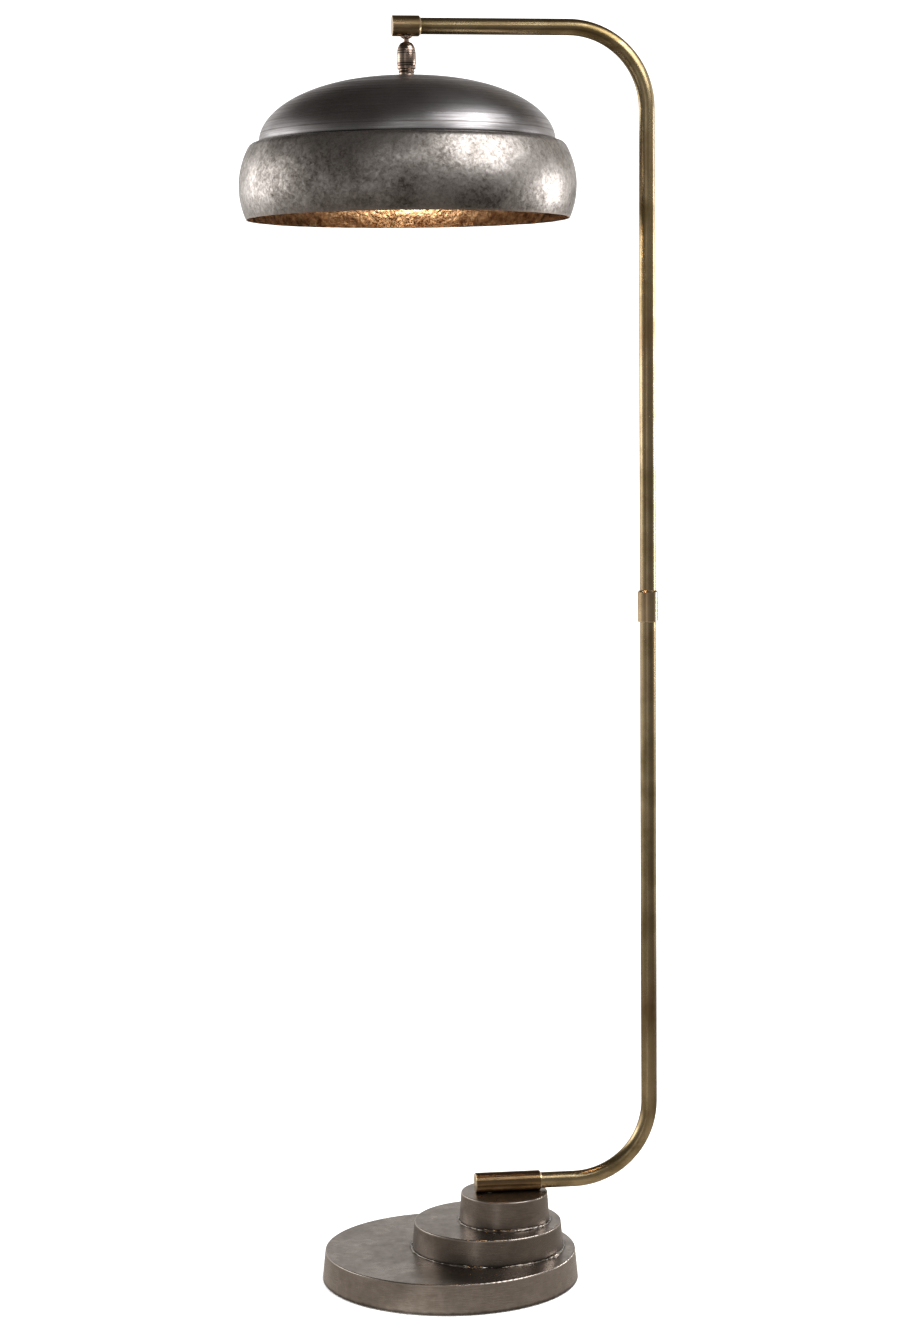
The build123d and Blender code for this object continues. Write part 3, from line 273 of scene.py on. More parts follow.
def across(tree, centre_x):
    """Distance from the vertical axis at centre_x, the height, and the coordinates about that axis."""
    local = place(tree, (centre_x, 0, 0))
    level = node(tree, "VectorMath", {0: local, 1: (1, 1, 0)}, operation="MULTIPLY")
    radius = node(tree, "VectorMath", {0: level}, operation="LENGTH")
    return radius, node(tree, "SeparateXYZ", {0: local}).outputs["Z"], local


def rings(tree, centre_x, pitch, detail=5.0):
    """Noise that changes only with the radius about a vertical axis and the height: lathe rings."""
    radius, height, _ = across(tree, centre_x)
    section = node(tree, "CombineXYZ", {"X": radius, "Z": height})
    return node(tree, "TexNoise", {
        "Vector": section, "Scale": 1 / pitch, "Detail": detail, "Roughness": 0.7})


def near_circle(tree, centre_x, radius, height, reach, uneven):
    """1 on a level circle, falling to 0 at reach from it; uneven is how far noise shifts that edge."""
    out, up, local = across(tree, centre_x)
    outward = node(tree, "Math", {0: out, 1: radius}, operation="SUBTRACT")
    upward = node(tree, "Math", {0: up, 1: height}, operation="SUBTRACT")
    offset = node(tree, "CombineXYZ", {"X": outward, "Z": upward})
    away = node(tree, "VectorMath", {0: offset}, operation="LENGTH")
    ragged = node(tree, "TexNoise", {"Vector": local, "Scale": 1 / (9 * MM), "Detail": 5.0})
    shifted = layered(tree, (away, 1.0), (ragged, uneven))
    return node(tree, "MapRange", {
        "Value": shifted, "From Min": reach + uneven / 2, "From Max": 0.25 * reach + uneven / 2},
        interpolation_type="SMOOTHSTEP")


def line_at(tree, height, reach):
    """1 at a height, falling to 0 at reach above and below it."""
    level = node(tree, "SeparateXYZ", {0: place(tree, (0, 0, height))}).outputs["Z"]
    away = node(tree, "Math", {0: level}, operation="ABSOLUTE")
    return node(tree, "MapRange", {"Value": away, "From Min": reach, "From Max": 0.0},
                interpolation_type="SMOOTHSTEP")


def at_the_ends(tree, name, axis, reach):
    """1 at both ends of a turned CAD node along X, Y or Z, falling to 0 at reach from them."""
    low, high, middle = span(name)
    half = getattr(high - low, axis.lower()) / 2
    along = node(tree, "SeparateXYZ", {0: place(tree, middle)}).outputs[axis]
    away = node(tree, "Math", {0: along}, operation="ABSOLUTE")
    return node(tree, "MapRange", {
        "Value": away, "From Min": half - reach, "From Max": half - 0.3 * reach},
        interpolation_type="SMOOTHSTEP")


def round_the_axis(tree, centre_x):
    """Level direction round a vertical axis, which lathe marks follow."""
    local = place(tree, (centre_x, 0, 0))
    return node(tree, "VectorMath", {0: (0, 0, 1), 1: local}, operation="CROSS_PRODUCT")


# ---------------------------------------------------------------- materials
def spun_pewter():
    """Pewter-plated steel, spun and brushed on the lathe: level rings, which draw highlights upwards."""
    made, tree, shader = new_material("spun_pewter")
    # Real brush lines are some 0.2 mm apart; they are drawn coarser than that, so that they show
    fine = rings(tree, SHADE_X, 1.3 * MM)
    medium = rings(tree, SHADE_X, 4 * MM)
    wide = rings(tree, SHADE_X, 16 * MM, 3.0)
    cloud = node(tree, "TexNoise", {
        "Vector": place(tree, (SHADE_X, 0, 0)), "Scale": 1 / (75 * MM), "Detail": 5.0})
    # Brush marks are short arcs, so the rings break up round the dome
    arcs = place(tree, (SHADE_X, 0, 0), (0.25, 0.25, 5))
    broken = node(tree, "TexNoise", {
        "Vector": arcs, "Scale": 1 / (8 * MM), "Detail": 6.0, "Roughness": 0.65})
    streak = layered(tree, (fine, 0.25), (medium, 0.30), (wide, 0.22), (broken, 0.23))
    tone = layered(tree, (cloud, 0.22), (streak, 0.78))
    colour = node(tree, "ValToRGB", {"Fac": tone}, [(0.40, colours().spun_dark), (0.59, colours().spun)])
    # A dark line is painted where the dome meets the band: dirt and painted shade in the seam
    seam = line_at(tree, SEAM_Z + 1.2 * MM, 1.9 * MM)
    colour = paint_over(tree, colour, colours().dirt_and_shade, seam, 0.9)
    rough = node(tree, "MapRange", {
        "Value": streak, "From Min": 0.40, "From Max": 0.60, "To Min": 0.46, "To Max": 0.27})
    ridges = node(tree, "Bump", {"Height": fine, "Distance": 0.05 * MM, "Strength": 0.5})
    waves = node(tree, "Bump", {
        "Height": wide, "Distance": 0.6 * MM, "Strength": 0.35, "Normal": ridges})
    set_shader(tree, shader, Base_Color=colour, Metallic=1.0, Roughness=rough, Normal=waves,
               Anisotropic=0.45, Anisotropic_Rotation=0.25, Tangent=round_the_axis(tree, SHADE_X))
    return made


# Dark patches on the band: patina, and at the front painted shade where the band mirrors dark
# surroundings;
# bearing from the front towards +X in degrees, drop below the seam, and reach
PATINA_AND_SHADE_PATCHES = (
    (-33, 34 * MM, 52 * MM), (-8, 68 * MM, 40 * MM), (18, 74 * MM, 40 * MM), (72, 66 * MM, 34 * MM),
    (128, 40 * MM, 50 * MM), (176, 62 * MM, 44 * MM), (-128, 64 * MM, 36 * MM))


def patina_and_shade_patch(tree, bearing, height, reach):
    """1 in a ragged patch on the band, falling to 0 at its edge."""
    belly = (BAND_HIGH.x - BAND_LOW.x) / 2
    local = place(tree, (SHADE_X + belly * sin(bearing), -belly * cos(bearing), height))
    away = node(tree, "VectorMath", {0: local}, operation="LENGTH")
    ragged = node(tree, "TexNoise", {
        "Vector": local, "Scale": 1 / (16 * MM), "Detail": 6.0, "Roughness": 0.7})
    shifted = layered(tree, (away, 1.0), (ragged, 0.9 * reach))
    return node(tree, "MapRange", {
        "Value": shifted, "From Min": 1.45 * reach, "From Max": 0.55 * reach},
        interpolation_type="SMOOTHSTEP")


def hammered_pewter():
    """Pewter-plated steel, planished by hand: shallow dents, and blotches of dark patina and painted
    shade.
    """
    made, tree, shader = new_material("hammered_pewter")
    _, height, local = across(tree, SHADE_X)
    big = node(tree, "TexNoise", {
        "Vector": local, "Scale": 1 / (44 * MM), "Detail": 7.0, "Roughness": 0.65, "Distortion": 0.4})
    small = node(tree, "TexNoise", {
        "Vector": local, "Scale": 1 / (5 * MM), "Detail": 6.0, "Roughness": 0.75, "Distortion": 0.6})
    patches = [(patina_and_shade_patch(tree, radians(bearing), SEAM_Z - drop, reach), -0.075)
               for bearing, drop, reach in PATINA_AND_SHADE_PATCHES]
    tone = layered(tree, (big, 0.42), (small, 0.58), *patches)
    colour = node(tree, "ValToRGB", {"Fac": tone}, [
        (0.34, colours().hammered_dark), (0.47, colours().hammered_mid), (0.60, colours().hammered)])
    # The rolled rim is rubbed paler than the belly, and a dark line is painted in the seam: dirt and
    # painted shade
    rim = node(tree, "MapRange", {
        "Value": height, "From Min": BAND_LOW.z + 3 * MM, "From Max": BAND_LOW.z + 0.5 * MM})
    colour = paint_over(tree, colour, colours().rim, rim, 0.6)
    seam = near_circle(tree, SHADE_X, (DOME_HIGH.x - DOME_LOW.x) / 2, SEAM_Z, 3.2 * MM, 2 * MM)
    colour = paint_over(tree, colour, colours().dirt_and_shade, seam, 0.85)
    rough = node(tree, "MapRange", {
        "Value": tone, "From Min": 0.36, "From Max": 0.62, "To Min": 0.50, "To Max": 0.33})
    # Fainter marks, half as wide, lie over the modelled hammer marks
    dents = node(tree, "TexVoronoi", {
        "Vector": local, "Scale": 1 / (0.5 * sizes().dent), "Smoothness": 0.6}, feature="SMOOTH_F1")
    grain = node(tree, "TexNoise", {
        "Vector": local, "Scale": 1 / (1.8 * MM), "Detail": 4.0, "Roughness": 0.7})
    hammered = node(tree, "Bump", {"Height": dents, "Distance": 0.15 * MM, "Strength": 0.75})
    grained = node(tree, "Bump", {
        "Height": grain, "Distance": 0.07 * MM, "Strength": 0.6, "Normal": hammered})
    set_shader(tree, shader, Base_Color=colour, Metallic=1.0, Roughness=rough, Normal=grained)
    return made


def copper_leaf():
    """Copper-gold leaf on the inside of the shade, hammered, so that it glints in small facets."""
    made, tree, shader = new_material("hammered_copper_gold")
    local = place(tree, (SHADE_X, 0, 0))
    patch = node(tree, "TexNoise", {
        "Vector": local, "Scale": 1 / (9 * MM), "Detail": 6.0, "Roughness": 0.65})
    colour = node(tree, "ValToRGB", {"Fac": patch}, [
        (0.36, colours().leaf_dark), (0.62, colours().leaf)])
    dents = node(tree, "TexVoronoi", {
        "Vector": local, "Scale": 1 / (0.5 * sizes().dent), "Smoothness": 0.4}, feature="SMOOTH_F1")
    fine = node(tree, "TexNoise", {"Vector": local, "Scale": 1 / (2.5 * MM), "Detail": 4.0})
    hammered = node(tree, "Bump", {"Height": dents, "Distance": 0.30 * MM, "Strength": 0.9})
    grained = node(tree, "Bump", {
        "Height": fine, "Distance": 0.10 * MM, "Strength": 0.6, "Normal": hammered})
    set_shader(tree, shader, Base_Color=colour, Metallic=1.0, Roughness=0.30, Normal=grained)
    return made


def lengthwise(tree, size):
    """Noise drawn out along the stem: upright in its straight run, level in the arm and at the foot."""
    upright, level = [
        node(tree, "TexNoise", {
            "Vector": place(tree, stretch=stretch), "Scale": 1 / size, "Detail": 2.0, "Roughness": 0.5})
        for stretch in ((1, 1, 0.03), (0.03, 1, 1))]
    height = node(tree, "SeparateXYZ", {0: place(tree)}).outputs["Z"]
    arm = node(tree, "MapRange", {
        "Value": height, "From Min": ARM_Z - 60 * MM, "From Max": ARM_Z - 20 * MM})
    foot = node(tree, "MapRange", {
        "Value": height, "From Min": FOOT_Z + 60 * MM, "From Max": FOOT_Z + 20 * MM})
    lying = node(tree, "Math", {0: arm, 1: foot}, operation="ADD", use_clamp=True)
    return node(tree, "Mix", {"Factor": lying, "A": upright, "B": level})


def antique_brass(name, light, dark, smoothest, roughest, ends=None):
    """Brass darkened with a brown patina and rubbed back lengthwise: cloudy, with faint long streaks.

    ends is a turned piece and its axis, when its ends get a pale ring of wear and painted highlight.
    """
    made, tree, shader = new_material(name)
    local = place(tree)
    cloud = node(tree, "TexNoise", {
        "Vector": local, "Scale": 1 / (45 * MM), "Detail": 4.0, "Roughness": 0.55})
    streak = lengthwise(tree, 4.0 * MM)
    tone = layered(tree, (cloud, 0.68), (streak, 0.32))
    colour = node(tree, "ValToRGB", {"Fac": tone}, [(0.38, dark), (0.60, light)])
    blotch = node(tree, "TexNoise", {"Vector": local, "Scale": 1 / (130 * MM), "Detail": 3.0})
    blush = node(tree, "MapRange", {"Value": blotch, "From Min": 0.48, "From Max": 0.60})
    colour = paint_over(tree, colour, colours().blush, blush, 0.25)
    # A pale ring at each end: wear, and a painted highlight on the chamfers
    if ends:
        worn_and_highlight = at_the_ends(tree, *ends, 1.6 * MM)
        colour = paint_over(tree, colour, colours().worn_brass_and_highlight, worn_and_highlight, 0.8)
    rough = node(tree, "MapRange", {
        "Value": tone, "From Min": 0.38, "From Max": 0.60, "To Min": roughest, "To Max": smoothest})
    drawn = node(tree, "Bump", {"Height": cloud, "Distance": 0.2 * MM, "Strength": 0.2})
    set_shader(tree, shader, Base_Color=colour, Metallic=1.0, Roughness=rough, Normal=drawn)
    return made


def turned_brass(name, light, dark, roughness, grooves):
    """Small turned brass with a pale pinkish patina: dark lies in the tool rings, and painted shade in
    the grooves.

    grooves are the heights of the dark lines of painted shade between its parts.
    """
    made, tree, shader = new_material(name)
    tool = rings(tree, SHADE_X, 2.0 * MM, 2.0)
    cloud = node(tree, "TexNoise", {"Vector": place(tree), "Scale": 1 / (14 * MM), "Detail": 3.0})
    tone = layered(tree, (tool, 0.6), (cloud, 0.4))
    colour = node(tree, "ValToRGB", {"Fac": tone}, [(0.38, dark), (0.60, light)])
    # Painted shade: a dark line at each groove between the parts
    for height in grooves:
        colour = paint_over(tree, colour, colours().dirt_and_shade, line_at(tree, height, 1.1 * MM), 0.9)
    turned = node(tree, "Bump", {"Height": tool, "Distance": 0.02 * MM, "Strength": 0.3})
    set_shader(tree, shader, Base_Color=colour, Metallic=1.0, Roughness=roughness, Normal=turned)
    return made


def brushed_pewter(name, low, high, feet, painted_side_shade):
    """Cast iron, plated with pewter and brushed: level scratches, stains, pits, rubbed top edges with a
    painted highlight, and painted shade on the sides and in the corners.

    low and high are the corners of the disc's box; feet are the boxes of discs that stand on it; the
    last argument is how much painted shade darkens its side.
    """
    made, tree, shader = new_material(name)
    local = place(tree)
    centre_x = (low.x + high.x) / 2
    radius = (high.x - low.x) / 2
    # Brush scratches are drawn about 1 mm apart, coarser than real ones, so that they show
    scratch = node(tree, "TexNoise", {
        "Vector": place(tree, stretch=(1, 1, 16)), "Scale": 1 / (14 * MM), "Detail": 7.0,
        "Roughness": 0.75})
    cloud = node(tree, "TexNoise", {
        "Vector": local, "Scale": 1 / (60 * MM), "Detail": 5.0, "Roughness": 0.6, "Distortion": 0.4})
    stain = node(tree, "TexNoise", {
        "Vector": local, "Scale": 1 / (9 * MM), "Detail": 6.0, "Roughness": 0.7})
    tone = layered(tree, (cloud, 0.40), (scratch, 0.40), (stain, 0.20))
    colour = node(tree, "ValToRGB", {"Fac": tone}, [
        (0.40, colours().pewter_dark), (0.60, colours().pewter)])
    height = node(tree, "SeparateXYZ", {0: local}).outputs["Z"]
    # Painted shade: the side below the top is painted darker, as it mirrors darker surroundings than the
    # top
    side = node(tree, "MapRange", {
        "Value": height, "From Min": high.z - 1 * MM, "From Max": high.z - 3 * MM})
    colour = paint_over(tree, colour, colours().painted_side_shade, side, painted_side_shade)
    # A pale ring painted along the top edge: wear, and a painted highlight on the rounded edge
    edge = near_circle(tree, centre_x, radius - 2.6 * MM, high.z, 2.6 * MM, 1.6 * MM)
    colour = paint_over(tree, colour, colours().worn_and_highlight, edge, 0.35)
    # Dark painted round the foot and where a disc stands on it: dirt, and painted shade in the corners
    corners = [near_circle(tree, centre_x, radius, low.z, 4.0 * MM, 3.0 * MM)] + [
        near_circle(tree, (foot_low.x + foot_high.x) / 2, (foot_high.x - foot_low.x) / 2, foot_low.z,
                    5.0 * MM, 3.5 * MM) for foot_low, foot_high in feet]
    for corner in corners:
        colour = paint_over(tree, colour, colours().dirt_and_shade, corner, 0.65)
    # Casting pits, 1 to 2 mm across, in about one cell of four, painted dark: dirt and painted shade in
    # them
    cells = node(tree, "TexVoronoi", {"Vector": local, "Scale": 1 / (22 * MM)})
    draw = node(tree, "SeparateXYZ", {0: cells.outputs["Color"]}).outputs["X"]
    chosen = node(tree, "MapRange", {"Value": draw, "From Min": 0.30, "From Max": 0.26})
    hole = node(tree, "MapRange", {"Value": cells, "From Min": 0.055, "From Max": 0.030})
    pit = node(tree, "Math", {0: chosen, 1: hole}, operation="MULTIPLY")
    colour = paint_over(tree, colour, colours().dirt_and_shade, pit, 0.75)
    rough = node(tree, "MapRange", {
        "Value": tone, "From Min": 0.38, "From Max": 0.62, "To Min": 0.34, "To Max": 0.24})
    brushed = node(tree, "Bump", {"Height": scratch, "Distance": 0.03 * MM, "Strength": 0.35})
    pitted = node(tree, "Bump", {
        "Height": pit, "Distance": -0.5 * MM, "Strength": 0.8, "Normal": brushed})
    set_shader(tree, shader, Base_Color=colour, Metallic=1.0, Roughness=rough, Normal=pitted)
    return made


def plain(name, code, dark, metallic, roughness, grain=1.5 * MM, depth=0.03 * MM):
    """A plain finish with a little uneven tone and grain, for the pieces inside the lamp."""
    made, tree, shader = new_material(name)
    local = place(tree)
    tone = node(tree, "TexNoise", {"Vector": local, "Scale": 1 / (6 * grain), "Detail": 4.0})
    colour = node(tree, "ValToRGB", {"Fac": tone}, [(0.35, linear(dark)), (0.65, linear(code))])
    grit = node(tree, "TexNoise", {"Vector": local, "Scale": 1 / grain, "Detail": 3.0})
    grained = node(tree, "Bump", {"Height": grit, "Distance": depth, "Strength": 0.5})
    set_shader(tree, shader, Base_Color=colour, Metallic=metallic, Roughness=roughness, Normal=grained)
    return made


def frosted_bulb():
    """Soft white bulb glass with its coating inside: the lit glass glows evenly and warm."""
    made, tree, shader = new_material("frosted_bulb_glass")
    tone = node(tree, "TexNoise", {"Vector": place(tree), "Scale": 1 / (12 * MM)})
    colour = node(tree, "ValToRGB", {"Fac": tone}, [(0.3, linear("#f4ead8")), (0.7, linear("#fff8ec"))])
    set_shader(tree, shader, Base_Color=colour, Metallic=0.0, Roughness=0.25, IOR=1.5,
               Emission_Color=colours().glow, Emission_Strength=look().bulb_strength)
    return made


def studio_paper():
    """Matt white studio paper."""
    made, tree, shader = new_material("studio_paper")
    tone = node(tree, "TexNoise", {"Vector": place(tree), "Scale": 1 / 0.5})
    colour = node(tree, "ValToRGB", {"Fac": tone}, [(0.3, linear("#fafafa")), (0.7, linear("#fdfdfd"))])
    set_shader(tree, shader, Base_Color=colour, Metallic=0.0, Roughness=0.9, Specular_IOR_Level=0.0)
    return made


# The grey card's pale strip: its bearing from the front towards +X in degrees, and how far from its
# middle it starts to fade and ends
STRIP_BEARING = -24
STRIP_CORE = 0.03
STRIP_EDGE = 0.09


def grey_card():
    """A grey card that only polished metal mirrors, in place of the bright floor.

    It darkens outwards, and a pale strip at the front left puts an upright glint on each disc.
    """
    made, tree, shader = new_material("grey_card")
    radius, _, local = across(tree, 0)
    far = node(tree, "MapRange", {"Value": radius, "From Min": 0.35, "From Max": 1.9})
    tint = node(tree, "ValToRGB", {"Fac": far}, [(0.0, linear("#bcb4ab")), (1.0, linear("#4d433a"))])
    strip = (sin(radians(STRIP_BEARING + 90)), -cos(radians(STRIP_BEARING + 90)), 0)
    beside = node(tree, "VectorMath", {0: local, 1: strip}, operation="DOT_PRODUCT")
    away = node(tree, "Math", {0: beside}, operation="ABSOLUTE")
    near = node(tree, "MapRange", {"Value": away, "From Min": STRIP_EDGE, "From Max": STRIP_CORE})
    depth = node(tree, "SeparateXYZ", {0: local}).outputs["Y"]
    in_front = node(tree, "Math", {0: depth, 1: 0.0}, operation="LESS_THAN")
    shown = node(tree, "Math", {0: near, 1: in_front}, operation="MULTIPLY")
    tint = paint_over(tree, tint, linear("#fff8f0"), shown, 0.8)
    set_shader(tree, shader, Base_Color=(0, 0, 0), Roughness=1.0, Specular_IOR_Level=0.0,
               Emission_Color=tint, Emission_Strength=1.0)
    return made


def finish_nodes(names, material):
    """Gives CAD nodes a material."""
    for name in names:
        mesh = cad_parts[name].data
        mesh.materials.clear()
        mesh.materials.append(material)


# ---------------------------------------------------------------- modelling helpers
def deselect():
    """Leaves nothing selected, in object mode."""
    if bpy.context.object is not None and bpy.context.object.mode != "OBJECT":
        bpy.ops.object.mode_set(mode="OBJECT")
    bpy.ops.object.select_all(action="DESELECT")


def start_profile(name, first):
    """Starts a piece as a single point, in edit mode, ready to be extruded along its outline."""
    deselect()
    bpy.ops.mesh.primitive_plane_add(size=1 * MM, location=(0, 0, 0))
    piece = bpy.context.object
    piece.name = name
    piece.data.name = name
    bpy.ops.object.mode_set(mode="EDIT")
    bpy.ops.mesh.select_all(action="SELECT")
    bpy.ops.mesh.merge(type="CENTER")
    bpy.ops.transform.translate(value=first)
    return piece


def extrude_outline(points):
    """Extrudes the selected point through each point of an outline."""
    for before, after in zip(points, points[1:]):
        step = Vector(after) - Vector(before)
        bpy.ops.mesh.extrude_region_move(TRANSFORM_OT_translate={"value": step})


def turn_piece(name, outline, centre_x, steps):
    """Lathe work: draws a half outline of (radius, height) points and spins it round a vertical axis."""
    points = [(centre_x + radius, 0.0, height) for radius, height in outline]
    piece = start_profile(name, points[0])
    extrude_outline(points)
    bpy.ops.mesh.select_all(action="SELECT")
    bpy.ops.mesh.spin(steps=steps, angle=2 * pi, center=(centre_x, 0, 0), axis=(0, 0, 1))
    bpy.ops.mesh.select_all(action="SELECT")
    bpy.ops.mesh.remove_doubles(threshold=MERGE_DISTANCE)
    bpy.ops.mesh.normals_make_consistent(inside=False)
    bpy.ops.object.mode_set(mode="OBJECT")
    return piece


def modify(piece, kind, **settings):
    """Adds a modifier and applies it."""
    deselect()
    piece.select_set(True)
    bpy.context.view_layer.objects.active = piece
    modifier = piece.modifiers.new(kind.lower(), kind)
    for name, value in settings.items():
        setattr(modifier, name, value)
    bpy.ops.object.modifier_apply(modifier=modifier.name)


def smooth(piece):
    """Smooth shading, with sharp edges kept."""
    deselect()
    piece.select_set(True)
    bpy.context.view_layer.objects.active = piece
    bpy.ops.object.shade_smooth_by_angle(angle=radians(SHARP_ANGLE))


def arc(centre, radius, start, end, count):
    """Points of an arc in the outline's plane, by its angles in degrees."""
    angles = [radians(start + (end - start) * i / count) for i in range(count + 1)]
    return [(centre[0] + radius * cos(a), centre[1] + radius * sin(a)) for a in angles]


def arc_through(a, b, c, count):
    """Points of the arc from a through b to c."""
    ax, ay, bx, by, cx, cy = *a, *b, *c
    d = 2 * (ax * (by - cy) + bx * (cy - ay) + cx * (ay - by))
    ux = ((ax**2 + ay**2) * (by - cy) + (bx**2 + by**2) * (cy - ay) + (cx**2 + cy**2) * (ay - by)) / d
    uy = ((ax**2 + ay**2) * (cx - bx) + (bx**2 + by**2) * (ax - cx) + (cx**2 + cy**2) * (bx - ax)) / d
    radius = sqrt((ax - ux)**2 + (ay - uy)**2)
    start = atan2(ay - uy, ax - ux)
    end = atan2(cy - uy, cx - ux)
    return arc((ux, uy), radius, start * 180 / pi, end * 180 / pi, count)


def texture(kind, name, size, **settings):
    """A procedural texture for a Displace modifier."""
    made = bpy.data.textures.new(name, kind)
    made.noise_scale = size
    for key, value in settings.items():
        setattr(made, key, value)
    return made


def put_on(piece, body, slot, *nodes):
    """Puts a finished piece on its body and hides the CAD nodes that it stands for; slot is not used."""
    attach(piece, body)
    if nodes:
        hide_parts(*nodes)


def two_sided(piece, outside, inside, axis_x, middle_z):
    """Gives a shell its outer material, and its inner one where its faces look towards the axis."""
    piece.data.materials.append(outside)
    piece.data.materials.append(inside)
    centre = Vector((axis_x, 0, middle_z))
    for face in piece.data.polygons:
        face.material_index = 1 if (face.center - centre).dot(face.normal) < 0 else 0


# ---------------------------------------------------------------- pieces
class LAMP_OT_dome(bpy.types.Operator):
    """Spun dome of the shade"""
    bl_idname = "lamp.dome"
    bl_label = "Shade dome"

    def execute(self, context):
        radius = (DOME_HIGH.x - DOME_LOW.x) / 2
        flat = sizes().crown_flat
        nipple_low, nipple_high, _ = span("shade_nipple")
        hole = (nipple_high.x - nipple_low.x) / 2 + CLEARANCE
        rise = DOME_HIGH.z - SEAM_Z
        side = [(radius, DOME_LOW.z), (radius, (DOME_LOW.z + SEAM_Z) / 2)]
        turns = [pi / 2 * i / CROWN_POINTS for i in range(CROWN_POINTS + 1)]
        curve = [(flat + (radius - flat) * cos(t), SEAM_Z + rise * sin(t)) for t in turns]
        piece = turn_piece("dome_shell", side + curve + [(hole, DOME_HIGH.z)], SHADE_X, DOME_STEPS)
        modify(piece, "SOLIDIFY", thickness=sizes().sheet, offset=-1, use_even_offset=True)
        two_sided(piece, spun_pewter(), copper_leaf(), SHADE_X, SEAM_Z)
        smooth(piece)
        put_on(piece, "shade", "pewter", "shade_dome")
        return {"FINISHED"}


class LAMP_OT_band(bpy.types.Operator):
    """Hammered band of the shade"""
    bl_idname = "lamp.band"
    bl_label = "Shade band"

    def execute(self, context):
        dome = (DOME_HIGH.x - DOME_LOW.x) / 2
        belly = (BAND_HIGH.x - BAND_LOW.x) / 2
        belly_z = SEAM_Z - sizes().belly_drop
        shoulder = dome + sizes().shoulder_out
        corner = sizes().shoulder_corner
        belly_arc = arc_through(
            (shoulder, SEAM_Z), (belly, belly_z), (belly - sizes().rim_in, BAND_LOW.z), BELLY_POINTS)
        # The corner rolls over from the flat shoulder into the top of the belly
        roll = (shoulder - 0.17 * corner, SEAM_Z - 0.25 * corner)
        rounded = arc_through((shoulder - corner, SEAM_Z), roll, belly_arc[CORNER_END], CORNER_POINTS)
        ledge = [(dome + CLEARANCE, SEAM_Z), (dome + 2 * MM, SEAM_Z)]
        outline = ledge + rounded + belly_arc[CORNER_END + 1:]
        piece = turn_piece("hammered_band", outline, SHADE_X, BAND_STEPS)
        modify(piece, "SOLIDIFY", thickness=sizes().sheet, offset=-1, use_even_offset=True)
        dents = texture("VORONOI", "hammer_marks", sizes().dent, noise_intensity=1.0)
        modify(piece, "DISPLACE", texture=dents, strength=sizes().dent_depth, mid_level=0.6)
        waves = texture("CLOUDS", "band_waves", BAND_WAVE)
        modify(piece, "DISPLACE", texture=waves, strength=BAND_WAVE_HEIGHT, mid_level=0.5)
        leaf = bpy.data.materials["hammered_copper_gold"]
        two_sided(piece, hammered_pewter(), leaf, SHADE_X, belly_z)
        smooth(piece)
        put_on(piece, "shade", "hammered_pewter", "shade_band")
        return {"FINISHED"}


class LAMP_OT_swivel(bpy.types.Operator):
    """Ball swivel between the arm and the shade"""
    bl_idname = "lamp.swivel"
    bl_label = "Ball swivel"

    def execute(self, context):
        barrel_low, barrel_high, _ = span("swivel_barrel")
        _, _, foot_middle = span("swivel_foot")
        lip = 2.6 * MM
        grooves = (barrel_high.z, barrel_high.z - lip, barrel_low.z, barrel_low.z + lip, foot_middle.z)
        pale = turned_brass(
            "turned_brass_pale_patina", colours().swivel, colours().swivel_dark, 0.20, grooves)
        finish_nodes(("swivel_cap", "swivel_barrel", "swivel_foot", "ball_stud"), pale)
        finish_nodes(("ball_seat",), plain("nylon_seat", "#e6e0d2", "#cfc8b8", 0.0, 0.45))
        return {"FINISHED"}


class LAMP_OT_stem(bpy.types.Operator):
    """Bent brass tubes, sleeve, collar and end block"""
    bl_idname = "lamp.stem"
    bl_label = "Brass stem"

    def execute(self, context):
        tube = antique_brass("antique_brass_tube", colours().brass, colours().brass_dark, 0.24, 0.32)
        finish_nodes(("lower_tube", "upper_tube", "arm_ferrule"), tube)
        for name, axis, light, dark in (
                ("base_sleeve", "X", colours().sleeve, colours().sleeve_dark),
                ("swivel_collar", "Z", colours().turned, colours().turned_dark),
                ("end_block", "X", colours().turned, colours().turned_dark)):
            turned = antique_brass("antique_brass_" + name, light, dark, 0.22, 0.30, (name, axis))
            finish_nodes((name,), turned)
        return {"FINISHED"}


